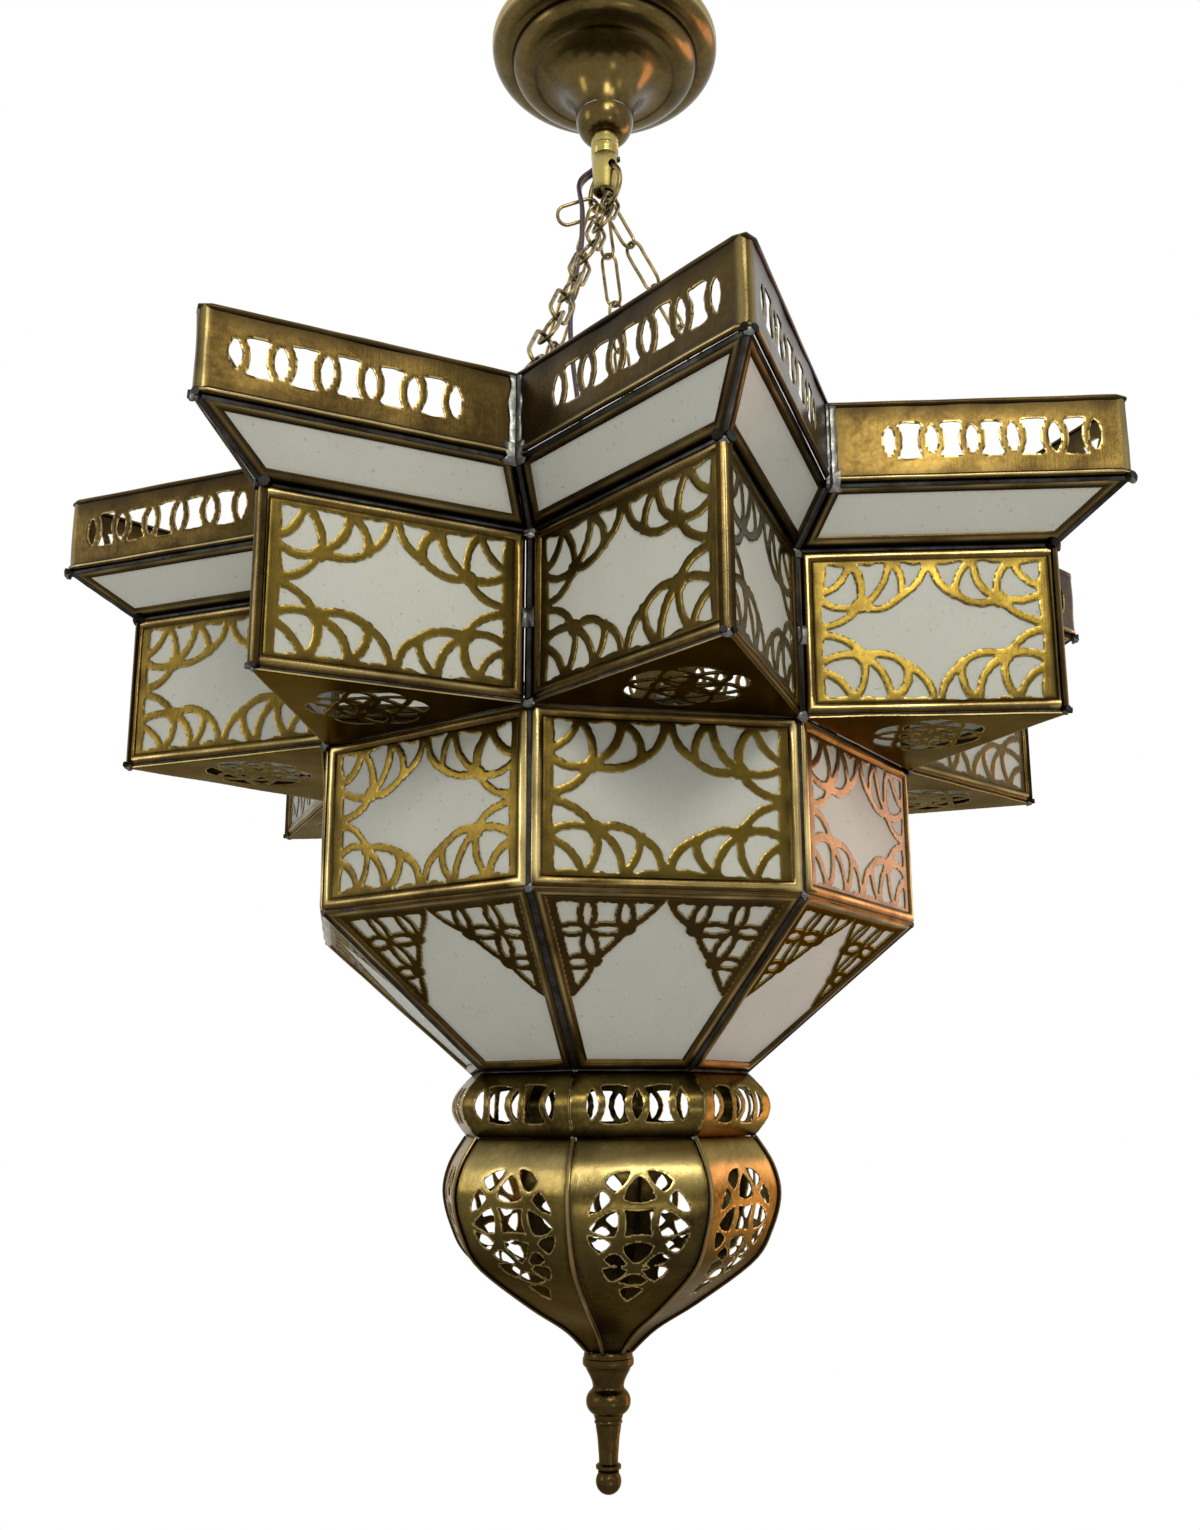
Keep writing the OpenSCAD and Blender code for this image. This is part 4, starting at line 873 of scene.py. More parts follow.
def gallery_piece():
    tip = np.array((0.0, -GALLERY_TIP_R))
    valley = GALLERY_VALLEY_R * np.array((sin(HALF), -cos(HALF)))
    length = np.linalg.norm(valley - tip)
    run = (valley - tip) / length
    out = np.array((run[1], -run[0]))
    height = GALLERY_FOOT - GALLERY_TOP - PLAY
    fold_r, sheet_t = 4.5, 1.0
    sweep = math.atan2(out[0], -out[1])
    centre = np.array((0.0, tip[1] + fold_r / -out[1]))
    start = math.tan(sweep) * fold_r
    arc_l = fold_r * sweep
    pitch = length * (ROW_END - ROW_START) / (LENS_COUNT - 1)

    def bend(s, o):
        """The plan of the folded band at a distance s from the tip's fold, o outside its face."""
        m = abs(s)
        angle = least(m / fold_r, sweep)
        on_fold = m < arc_l
        nx, ny = np.where(on_fold, np.sin(angle), out[0]), np.where(on_fold, -np.cos(angle), out[1])
        straight = most(m - arc_l, 0)
        x = centre[0] + (fold_r + o) * nx + straight * run[0]
        y = centre[1] + (fold_r + o) * ny + straight * run[1]
        return np.stack([np.sign(s) * x, y], 1)

    full = arc_l + (length - start) - 0.4
    centres = [arc_l - start + length * ROW_START + pitch * i for i in range(LENS_COUNT)]
    band = Gathered()
    for k in range(SIDES):
        turn = turn_about(k * STEP)
        for s in (-1, 1):
            seed = 900 + 4 * k + s

            def field(p):
                rough = wobble(p, 3.2, seed) * 0.2 + wobble(p, 14, seed + 1) * 0.2
                q = p + drift(p, (40, 30), seed + 2, 0.5)
                cut = chain_of_circles(q, centres, LENS_H, LENS_W, top=LENS_H - 0.6, dome=1.6) - rough
                ends = most(-0.001 - p[:, 0], p[:, 0] - full)
                return most(cut, ends, abs(p[:, 1]) - height / 2 + 0.7)

            low, high = (-1.0, -height / 2), (full + 1.0, height / 2)
            flat, faces, edges, near = pierced(field, low, high, 1.15, s < 0)
            near = near * (abs(flat[:, 1]) < height / 2 - 2)
            # Painted shade: the strip is darker towards its valley end, under its top bead and above its foot
            # bead.
            end_dirt = share(1 - (full - flat[:, 0]) / 8) * 0.6
            top_dirt = share((flat[:, 1] - 9.5) / 8) * 0.85
            foot_dirt = share((-flat[:, 1] - 13.5) / 5) * 0.7
            dirt = share(most(end_dirt, top_dirt + foot_dirt))
            # A painted highlight runs down beside the fold at the tip.
            fold_line = np.exp(-((flat[:, 0] - 2.6) / 1.6) ** 2) * 0.45

            def place(points, depth):
                uneven = wobble(points, 40, seed + 4) * 0.35 - 0.3
                plan = bend(s * most(points[:, 0], 0.0), depth + uneven) @ turn.T
                return np.column_stack([plan, -(GALLERY_TOP + GALLERY_FOOT) / 2 + points[:, 1]])

            sheet_from(band, flat, faces, edges, most(near, fold_line * 1.4), place, sheet_t, dirt)
        stations = np.linspace(-full, full, 49)
        path = bend(stations, -0.75) @ turn.T
        rise = wobble(stations[:, None], 40, 950 + k) * 0.12
        section = round_section(BEAD_R - 0.15, 14)
        up, outwards = (np.tile(v, len(path)) / BEAD_R for v in np.array(section).T)
        # Each bead is painted darker on one side as shade and gets a painted highlight along it: the top bead
        # is dark underneath with its highlight high up, the foot bead dark on top with its highlight just
        # below its middle.
        for level, grime, bright in ((-GALLERY_TOP - BEAD_R, 0.45 - 0.6 * up, 0.75),
                                     (-GALLERY_FOOT + GAP + BEAD_R, 0.5 + 0.6 * up, -0.1)):
            route = np.column_stack([path, level + rise])
            worn = share(1 - abs(up - bright) / 0.3) * abs(outwards)
            band.add(*swept(route, section, side=(0, 0, 1)), share(grime), worn)
    band.piece("gallery_band", BAND_BRASS, "gallery")


# Floors of the star points
def floor_piece():
    ring_r = 0.06 * STAR_TIP_R * 0.93
    middle = (STAR_TIP_R + 2 * STAR_VALLEY_R * cos(HALF)) / 3
    corners = ((STAR_TIP_R, 0), (STAR_VALLEY_R, HALF), (STAR_VALLEY_R, -HALF))
    outline = inset([at(r, a, 0)[:2] for r, a in corners], (SEAM,) * 3)
    inner_y = -DRUM_R * cos(HALF) - 0.4
    low = (outline[2][0] - 1.5, outline[0][1] - 1.5)
    high = (outline[1][0] + 1.5, inner_y + 1.5)
    centre = np.array((0.0, -middle))
    spots = [centre] + [centre + ring_r * np.array((sin(a), cos(a))) for a in range(0, 360, 60)]
    parts = Gathered()
    for k in range(SIDES):
        seed = 1100 + k
        turn = turn_about(k * STEP)

        def field(p):
            rough = wobble(p, 3.4, seed) * 0.2
            q = p + drift(p, (30, 30), seed + 1, 0.5)
            rings = [np.linalg.norm(q - c, axis=1) - ring_r for c in spots]
            solid = least(least(*np.abs(rings)) - 1.45 - rough, -least(*rings) - 1.0)
            edge = most(*[-((p - a) @ left_of(b - a)) for a, b in round_pairs(outline)])
            return most(solid, edge, p[:, 1] - inner_y)

        def place(points, depth):
            z = -STAR_FOOT - GAP - 1.0 - depth + wobble(points, 50, seed + 4) * 0.15
            return np.column_stack([points @ turn.T, z])

        sheet_from(parts, *pierced(field, low, high, 1.25, True), place, 0.8, 0.15)
    parts.piece("point_floor_plates", GUSSET_BRASS, "point_floors")


# Collar and onion: their curves hold radius at the seams and depth below the ceiling
def spline(points, n):
    """A smooth curve through the points."""
    p = [np.array(q, float) for q in points]
    last = len(p) - 1
    out = []
    for j in range(n + 1):
        t = j / n * last
        i = min(int(t), last - 1)
        u = t - i
        a, b, c, d = p[max(i - 1, 0)], p[i], p[i + 1], p[min(i + 2, last)]
        out.append(0.5 * (2 * b + (c - a) * u + (2 * a - 5 * b + 4 * c - d) * u * u
                          + (3 * b - a - 3 * c + d) * u ** 3))
    return np.array(out)


def collar_curve():
    t = np.linspace(0, 1, 41)
    r = HOPPER_FOOT_R * (1 - t) + COLLAR_FOOT_R * t + COLLAR_BULGE * np.sin(math.pi * t)
    return np.column_stack([r, HOPPER_FOOT + GAP + (COLLAR_FOOT - HOPPER_FOOT - PLAY) * t])


def onion_curve():
    shape = ((COLLAR_FOOT_R, 0), (ONION_R - 3, 0.13), (ONION_R, 0.27), (ONION_R - 4.5, 0.43),
             (0.84 * ONION_R, 0.575), (0.525 * ONION_R, 0.765), (0.28 * ONION_R, 0.89), (ONION_FOOT_R, 1))
    curve = spline(shape, 72)
    curve[:, 1] = COLLAR_FOOT + GAP + curve[:, 1] * (ONION_FOOT - COLLAR_FOOT - PLAY)
    return curve


def facet_mapper(curve, k):
    """Places flat points, across and drop, on one facet of a bent strip."""
    slope = np.gradient(curve[:, 0] * cos(HALF), curve[:, 1])

    def place(points, depth):
        drop = np.clip(points[:, 1], curve[0, 1], curve[-1, 1])
        r = np.interp(drop, curve[:, 1], curve[:, 0]) * cos(HALF)
        m = np.interp(drop, curve[:, 1], slope)
        grow = 1 / np.sqrt(1 + m * m)
        plan = np.column_stack([points[:, 0], -(r + depth * grow)]) @ turn_about(k * STEP).T
        return np.column_stack([plan, -(drop - depth * m * grow)])

    return place


def facet_edge(p, curve, off):
    """Above zero outside a facet's own strip."""
    half_w = np.interp(p[:, 1], curve[:, 1], curve[:, 0]) * sin(HALF) - off
    return most(abs(p[:, 0]) - half_w, curve[0, 1] - p[:, 1], p[:, 1] - curve[-1, 1])


# The onion's openings, across and down from the top of its pattern: those in pairs, and those in the middle
ONION_PAIRS = (
    ((4.2, 0.3), (15.5, 4.8), (11, 9.6)), ((17.5, 9.3), (14, 13.2), (23.3, 18.5)),
    ((10.8, 18), (22.5, 25.2), (11.8, 28.7)), ((13.3, 33), (23.2, 29), (18, 36.8)),
    ((4.6, 42.3), (10.5, 37.2), (14.5, 40)), ((3.9, 45.2), (14.7, 44.3), (9.9, 49.8)))
ONION_MIDDLES = (
    ((0, 2.5), (-6.8, 12.8), (6.8, 12.8)), ((-6.8, 33.8), (0, 41.5), (6.8, 33.8)),
    ((0, 46.8), (-6.4, 50.5), (6.4, 50.5)), ((-5, 54.6), (5, 54.6), (0, 60.4)))
PATTERN_TOP = 14


def opening_value(p, corners):
    """Below zero inside an opening whose sides bow out."""
    corners = [np.array(c, float) for c in corners]
    middle = sum(corners) / len(corners)
    worst = np.full(len(p), -1e9)
    for a, b in round_pairs(corners):
        length = np.linalg.norm(b - a)
        side = left_of(b - a)
        if side @ (middle - a) > 0:
            side = -side
        t = share((p - a) @ (b - a) / length ** 2)
        worst = most(worst, (p - a) @ side - 0.1 * length * 4 * t * (1 - t))
    return worst - 0.35


def eye_value(p):
    """Below zero inside the tall middle opening, whose sides draw in."""
    half_w = 6.0 + 1.2 * ((p[:, 1] - 23.5) / 6) ** 2
    sag = 0.8 * (1 - (p[:, 0] / 7) ** 2)
    return most(abs(p[:, 0]) - half_w, 17.2 + sag - p[:, 1], p[:, 1] - 29.2 + sag)


def facet_sheets(name, node, curve, first_seed, cut, marks, reach, margin, cell, off, fade):
    """Eight pierced facets on one curve.

    cut says where they are open, and marks where they are painted darker, as shade, and brighter, as edge
    wear and painted highlights. They end off short of their seams, and the darkening fades over the distance
    fade from there.
    """
    parts = Gathered()
    for k in range(SIDES):
        def field(p):
            return most(cut(p, first_seed + k), facet_edge(p, curve, off))

        low, high = (-reach, curve[0, 1] - margin), (reach, curve[-1, 1] + margin)
        flat, faces, edges, near = pierced(field, low, high, cell, True)
        dirt, near = marks(flat[:, 1], near, share(1 + facet_edge(flat, curve, off) / fade))
        sheet_from(parts, flat, faces, edges, near, facet_mapper(curve, k), 0.9, dirt)
    parts.piece(name, SHELL_BRASS, node)


def shell_pieces():
    curve = collar_curve()
    middle = (curve[0, 1] + curve[-1, 1]) / 2

    def collar_cut(p, seed):
        q = np.column_stack([p[:, 0], p[:, 1] - middle]) + drift(p, (30, 30), seed, 0.35)
        cut = chain_of_circles(q, (-21, 0, 21), 7.6, 2.8, top=7.2, dome=1.7)
        return cut - wobble(p, 3.2, seed + 2) * 0.18

    def collar_marks(drop, near, side):
        # The collar is painted darker, as shade, towards its joints above and below and beside its seams, and
        # its cut edges are bright only in its middle.
        rim = share((abs(drop - middle) - 9.5) / 5)
        return share(rim * 0.8 + side * 0.4), near * (rim < 0.5)

    facet_sheets("collar_facets", "collar", curve, 1300, collar_cut, collar_marks, reach=34, margin=0.6,
                 cell=FINE_CELL, off=0.3, fade=4)
    curve = onion_curve()

    def onion_cut(p, seed):
        q = np.column_stack([p[:, 0], p[:, 1] - COLLAR_FOOT - PATTERN_TOP]) + drift(p, (30, 30), seed, 0.5)
        opened = eye_value(q)
        for corners in ONION_MIDDLES:
            opened = least(opened, opening_value(q, corners))
        for corners in ONION_PAIRS:
            opened = least(opened, opening_value(np.column_stack([abs(q[:, 0]), q[:, 1]]), corners))
        return -opened - wobble(p, 3.2, seed + 2) * 0.2

    def onion_marks(drop, near, side):
        # The onion is painted darker, as shade, over its lower part, at its joint with the collar and beside
        # its ribs, and a band near its top gets a painted sheen.
        low = share((drop - COLLAR_FOOT - 26) / 40) ** 0.8
        seam_dirt = share(1 - (drop - COLLAR_FOOT) / 5)
        rubbed = 0.72 * share(1 - abs(drop - COLLAR_FOOT - 12) / 13) * (1 - side)
        return share(low * 0.9 + side * 0.5 + seam_dirt * 0.95), most(near * (side < 0.3), rubbed)

    facet_sheets("onion_shells", "onion_gores", curve, 1400, onion_cut, onion_marks, reach=35, margin=0.7,
                 cell=1.1, off=1.0, fade=3)

    ribs = Gathered()
    section = ((-1.25, -0.9), (0.2, -1.15), (0.75, -0.85), (1.0, 0), (0.75, 0.85), (0.2, 1.15), (-1.25, 0.9))
    for k in range(SIDES):
        a = (k + 0.5) * STEP
        path = [at(r + 0.15, a, -z) for r, z in curve[::2]]
        points, faces = swept(path, section, side=at(1, a, 0))
        # Each rib is painted dark at its feet, as shade against the shell, and gets a painted highlight along
        # its crest that fades towards its foot.
        fade = np.repeat(np.clip(1.25 - np.linspace(0, 1, len(path)), 0.1, 1), len(section))
        ribs.add(points, faces, np.tile((1, 0.8, 0.15, 0, 0.15, 0.8, 1), len(path)),
                 np.tile((0, 0, 0.12, 0.38, 0.12, 0, 0), len(path)) * fade)
    ribs.piece("onion_seams", CAME_BRASS, "onion_ribs")


# Turned parts
def quarter(x, z, dx, dz, n, first=0):
    """A quarter of an ellipse round (x, z), from its outer end down to its foot."""
    return [(x + dx * cos(90 * i / n), z - dz * sin(90 * i / n)) for i in range(first, n + 1)]


def rose_outline(d):
    """The rose's outline, moved inwards by d."""
    lip = ROSE_LIP
    (r1, z1), (r2, z2) = ROSE_STEPS
    r3 = r2 - 1.4
    out = [(ROSE_R - d, -0.01), (ROSE_R - d, d - 0.35 * lip), (ROSE_R - d - 0.15, d - 0.7 * lip),
           (ROSE_R - d - 0.6, d - lip)]
    out += quarter(r1 - d, d - lip, ROSE_R - r1, z1 - lip, 12, 1)
    out += [(r1 - 0.7 - d, d - z1 - 0.05), (r1 - 1.4 - d, d - z1 + 0.1)]
    out += quarter(r2 - d, d - z1, r1 - 1.4 - r2, z2 - z1, 12)
    out += [(r2 - 0.7 - d, d - z2 - 0.05), (r3 - d, d - z2 + 0.1)]
    flare = [90 * i / 24 for i in range(1, 25)]
    return out + [(r3 - d + (ROSE_NECK_R - r2 + 1.4) * sin(a), d - z2 - (ROSE_H - z2) * (1 - cos(a)))
                  for a in flare]


def bowl_outline(d):
    inner = STEM_TOP_R + 0.3
    return quarter(inner, -ROSE_H - GAP, ROSE_NECK_R - d - inner, BOWL_FOOT - ROSE_H - GAP - d, 15)


def ceiling_pieces():
    points, faces = turned(rose_outline(0) + rose_outline(SPUN_T)[::-1], 160)
    r = np.hypot(points[:, 0], points[:, 1])
    # The two turned grooves are painted darker, and the rim brighter.
    grooves = np.exp(-((r - 55.6) / 0.8) ** 2) + np.exp(-((r - 41.8) / 0.8) ** 2) * 0.9
    make_piece("ceiling_rose", points, faces, SPUN_BRASS, "rose", "root",
               dirt=share(grooves) * 0.55, worn=np.exp(-((r - ROSE_R) / 0.6) ** 2) * 0.6)
    hole = NIPPLE_R + GAP
    floor = [(hole, -BOWL_FOOT), (hole, SPUN_T - BOWL_FOOT)]
    lathe("rose_bowl", bowl_outline(0) + floor + bowl_outline(SPUN_T)[::-1], SPUN_BRASS, "bowl", "root", 128)
    stem_piece()
    grub_piece()
    for node, material in (("ceiling_strap", STEEL), ("nipple_nuts", STEEL), ("nipple", WIRE_BRASS),
                           ("inner_cord", FLEX), ("lamp_bar", CAME_BRASS), ("lampholder", BAKELITE),
                           ("bulb", OPAL)):
        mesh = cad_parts[node].data
        mesh.materials.clear()
        mesh.materials.append(material)
        mesh.polygons.foreach_set("material_index", [0] * len(mesh.polygons))


STEM_GROOVES = ((3.2, 0.3), (6.3, 0.4), (7.6, 0.25), (8.9, 0.25), (10.2, 0.2), (11.5, 0.2), (12.8, 0.15))


def stem_piece():
    """The stem: a slim tapered tube with turned rings near its top, cut through for the ring and the cord."""
    top, foot = -BOWL_FOOT - GAP, -STEM_FOOT
    outline = [(STEM_BORE_R, top), (STEM_TOP_R - 0.3, top), (STEM_TOP_R, top - 0.4)]
    for z, deep in STEM_GROOVES:
        r = STEM_TOP_R - 0.02 * z
        outline += [(r, top - z + 0.35), (r - deep, top - z), (r, top - z - 0.35)]
    outline += [(STEM_FOOT_R + 0.45, foot + 12), (STEM_FOOT_R + 0.15, foot + 4), (STEM_FOOT_R, foot + 0.5),
                (STEM_FOOT_R - 0.5, foot), (STEM_BORE_R, foot)]
    piece = lathe("stem_tube", outline, STEM_BRASS, "stem", "root", marks=((foot + 1.2, foot - 1, 0.5, 1.2),))
    reach = 12
    tube = swept([(0, y, -CROSS_Z) for y in (-reach, reach)], round_section(CROSS_R, 40), side=(1, 0, 0))
    box = ([(x, y, z) for z in (-CROSS_Z, -SLOT_TOP)
            for x, y in ((-CROSS_R, 0), (CROSS_R, 0), (CROSS_R, reach), (-CROSS_R, reach))],
           [(3, 2, 1, 0), (4, 5, 6, 7), (0, 1, 5, 4), (1, 2, 6, 5), (2, 3, 7, 6), (3, 0, 4, 7)])
    for label, (shape, sides) in (("cross_cutter", tube), ("slot_cutter", box)):
        cutter, mesh = new_object(label, shape, sides)
        mesh.transform(Matrix.Rotation(math.radians(CROSS_ANGLE), 4, "Z"))
        modifier = piece.modifiers.new(label, "BOOLEAN")
        modifier.object = cutter
        modifier.solver = "EXACT"
        with bpy.context.temp_override(object=piece, active_object=piece, selected_objects=[piece]):
            bpy.ops.object.modifier_apply(modifier=label)
        bpy.data.objects.remove(cutter)
    piece.data.set_sharp_from_angle(angle=math.radians(30))


def grub_piece():
    head_z = 3.2
    points, faces = turned([(0, 0), (1.6, 0), (1.6, head_z), (1.45, 3.6), (1.1, 3.75), (0, 3.7)], 32)
    points[:, 2] += np.where((abs(points[:, 0]) < 0.32) & (points[:, 2] > head_z), -0.55, 0)
    turn = Matrix.Rotation(math.radians(GRUB_ANGLE), 3, "Z") @ Matrix.Rotation(math.radians(90), 3, "X")
    base = at(STEM_BORE_R + 0.2, GRUB_ANGLE, -GRUB_Z)
    make_piece("grub_screw_slotted", [tuple(turn @ Vector(p) + base) for p in points], faces, BLACK_STEEL,
               "grub_screw", "root")


def arc(centre_r, centre_z, r, a1, a2, n):
    angles = [a1 + (a2 - a1) * i / n for i in range(n + 1)]
    return [(centre_r + r * cos(a), centre_z + r * sin(a)) for a in angles]


def dropped(top, outline):
    """An outline whose heights are given as drops below top."""
    return [(r, top - drop) for r, drop in outline]


def finial_pieces():
    top = -ONION_FOOT - GAP
    bore = 3.15
    outline = dropped(top, ((bore, 0), (ONION_FOOT_R, 0), (12.2, 1.2), (12.25, 2.6), (12.7, 3.1), (12.8, 4.6),
                            (12.75, 6.0), (12.1, 6.9), (11.5, 7.1), (11.3, 7.6), (10.6, 9.2), (9.4, 11.3),
                            (8.5, 13.2), (8.0, 14.6), (7.9, 15.4)))
    lathe("ferrule_cap", outline + [(7.7, -FERRULE_FOOT), (bore, -FERRULE_FOOT)], TURNED_BRASS, "ferrule",
          marks=((top, top - 0.8, 0.7, 0.5), (top - 7.3, top - 7.4, 0.7, 0.5)))
    squat, ball_r, end_r = 6.8, 11.1, 6.3
    top = -FERRULE_FOOT - GAP
    ball_z, end_z = top - squat, -FINIAL_FOOT + end_r
    neck = ball_z - squat - 2.6
    ring = end_z + 0.9 * end_r
    outline = [(0, 8 - FERRULE_FOOT), (3, 8 - FERRULE_FOOT), (3, top), (7.7, top)]
    outline += arc(ball_r - squat, ball_z, squat, 55, -62, 20)
    outline += dropped(neck, ((6.9, -1.6), (6.55, -0.8), (6.9, -0.2), (6.95, 0.5), (6.4, 1.0), (6.3, 2.2),
                              (6.05, 4), (5.6, 6.5), (5.3, 9.5), (5.05, 13)))
    outline += dropped(ring, ((4.8, -6), (4.7, -3.4), (4.75, -2.5), (5.6, -2.2), (6.2, -1.7), (6.3, -0.8),
                              (6.1, -0.1), (5.2, 0.3), (4.9, 0.8), (5.3, 1.2)))
    outline += arc(0, end_z, end_r, 36, -86, 16) + [(0, end_z - end_r)]
    lathe("finial_turning", outline, TURNED_BRASS, "finial",
          marks=((neck + 1.3, neck + 0.4, 0.7, 0.3), (neck - 1, neck - 1.4, 0.5, 0.4),
                 (ring - 0.4, ring - 1.1, 0.8, 0.3), (ring + 3.2, ring + 2.4, 0.5, 0.5)))


# Ring, chains and cord: each chain's valley and the place of its hook on the ring
CHAINS = (("chain_front", -22.5, 34), ("chain_right", 112.5, 11.5), ("chain_back", 157.5, -11.5),
          ("chain_left", 202.5, -34))
CROSS_WAY = at(1, CROSS_ANGLE, 0)
EYE_R, EYE_WIRE, EYE_STEM_R = 4, 1.8, 0.7
VALLEY_ROOM = 0.807
EYE_INSET = (1.5 * BEAD_R + PLAY + EYE_R + EYE_WIRE / 2) / VALLEY_ROOM
EYE_SEAT_INSET = (1.2 + PLAY + EYE_STEM_R) / VALLEY_ROOM
RING_PLAY = RING_WIRE / 2 + PLAY


def on_ring(a):
    """A point on the ring's centre line, at the angle a from its foot."""
    return Vector((0, 0, RING_CENTRE)) + RING_R * (CROSS_WAY * math.sin(a) + DOWN * math.cos(a))


def link_path(length, width, wire):
    """The centre line of a link in its own plane, starting in the middle of a long side."""
    r = (width - wire) / 2
    straight = length / 2 - width / 2
    half_turn = np.linspace(0, math.pi, 12)
    points = [(r, y) for y in np.linspace(0, straight, 4)[:-1]]
    points += [(r * math.cos(a), straight + r * math.sin(a)) for a in half_turn]
    points += [(-r, y) for y in np.linspace(straight, -straight, 6)[1:-1]]
    points += [(-r * math.cos(a), -straight - r * math.sin(a)) for a in half_turn]
    return points + [(r, y) for y in np.linspace(-straight, 0, 4)[1:]]


def link_of(parts, centre, run, face, length, seed):
    """One bent-wire link: its butt slit is painted black as shade, its ends darker as shade where links hook,
    its sides brighter as a painted highlight.
    """
    rng = random.Random(seed)
    run, face = run.normalized(), (face - run * face.dot(run)).normalized()
    side = run.cross(face)
    path = link_path(length, LINK_W, LINK_WIRE)
    skew = rng.uniform(-0.12, 0.12)
    slit, corners = 0.12, 12
    for end, shift in ((0, slit), (-1, -slit)):
        path[end] = (path[end][0], path[end][1] + shift)
    points = [centre + side * x + run * y + face * skew * math.sin(y * 0.4) for x, y in path]
    rings, faces = swept(points, round_section(LINK_WIRE / 2, corners), side=face)
    ends = [min(1, max(0, (abs(y) - length / 2 + 4) / 3)) for x, y in path]
    dirt = np.repeat([0.35 * end + rng.uniform(0, 0.25) for end in ends], corners)
    dirt[:corners] = dirt[-corners:] = 1
    parts.add(rings, faces, dirt, np.repeat([0.25 * (1 - end) for end in ends], corners))


def hanging_pieces():
    points, faces = swept([on_ring(a) for a in full_turn(96)], round_section(RING_WIRE / 2 - 0.05, 20),
                          closed=True, side=DOWN.cross(CROSS_WAY))
    # The ring is painted darker towards its foot, as shade, and brighter towards its top, as a painted
    # highlight.
    lower = share((RING_CENTRE - points[:, 2]) / RING_R)
    make_piece("hanging_ring", points, faces, WIRE_BRASS, "hang_ring", "ring", lower * 0.35,
               (1 - lower) * 0.2)
    eyes = Gathered()
    for c, (name, valley, hook_angle) in enumerate(CHAINS):
        hook = on_ring(math.radians(hook_angle))
        eye = at(GALLERY_VALLEY_R - EYE_INSET, valley, -GALLERY_TOP - 2)
        run = (eye - hook).normalized()
        face = run.cross(CROSS_WAY.cross(run)).normalized()
        span = (eye - hook).length - EYE_R
        pitch = (span + RING_PLAY + EYE_WIRE / 2 + PLAY) / CHAIN_LINKS
        length = pitch + 2 * LINK_WIRE + PLAY
        first = hook + run * (length / 2 - LINK_WIRE - RING_PLAY)
        links = Gathered()
        for j in range(CHAIN_LINKS):
            link_of(links, first + run * pitch * j, run, run.cross(face) if j % 2 else face, length,
                    1500 + 20 * c + j)
        links.piece(name + "_links", WIRE_BRASS, name)
        side = face.cross(run)
        loop = [eye + EYE_R * (side * math.sin(a) + run * math.cos(a)) for a in full_turn(40)]
        eyes.add(*swept(loop, round_section(EYE_WIRE / 2, 10), closed=True, side=face), dirt=0.35)
        foot = eye + run * EYE_R
        seat = at(GALLERY_VALLEY_R - EYE_SEAT_INSET, valley, -GALLERY_TOP - 19)
        stem = [foot.lerp(seat, t) for t in (0, 0.35, 0.7, 1)]
        eyes.add(*swept(stem, round_section(EYE_STEM_R, 10)), dirt=0.5)
    eyes.piece("gallery_eyes", WIRE_BRASS, "chain_eyes")
    spare = Gathered()
    run = Vector((-0.93, 0.12, -0.36)).normalized()
    hook = on_ring(math.radians(-62))
    link_of(spare, hook + run * (13 - LINK_WIRE - RING_PLAY), run, Vector((0.1, -0.93, -0.3)), 28, 1590)
    spare.piece("spare_loop", WIRE_BRASS, "spare_link")


CORD_ROUTE = ((-3.9, 6.75, -78.2), (-6.2, 10.7, -78.4), (-9.5, 12.4, -80.5), (-12.6, 11.8, -85),
              (-14.2, 8.6, -92), (-14.2, 4.5, -100), (-13.4, 2, -109), (-13.4, 1.5, -120), (-13.8, 2.5, -134),
              (-16.5, 4, -150), (-18.7, 6, -166), (-19.5, 7.2, -184), (-18, 7.4, -206), (-15, 6.8, -232),
              (-11.6, 5.7, -262), (-8.5, 4.5, -294), (-5.5, 3, -328), (-3, 1.7, -362), (-1.2, 0.7, -396),
              (-0.3, 0.2, -424), (0, 0, -450.5))


def cord_piece():
    """Flat twin flex: two round cores side by side under one dark sheath."""
    route = spline(CORD_ROUTE, 6 * (len(CORD_ROUTE) - 1))
    core = CORD_T / 2
    shift = CORD_W / 2 - core
    lap = 2.3
    section = [(s * (shift + core * math.cos(a)), core * math.sin(a))
               for s in (1, -1) for a in np.linspace(-s * lap, s * lap, 11)]
    points, faces = swept([tuple(p) for p in route], section, side=at(1, CROSS_ANGLE - 90, 0))
    piece = make_piece("lamp_flex", points, faces, FLEX, None, None)
    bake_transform(piece)
    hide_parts("lamp_cord")


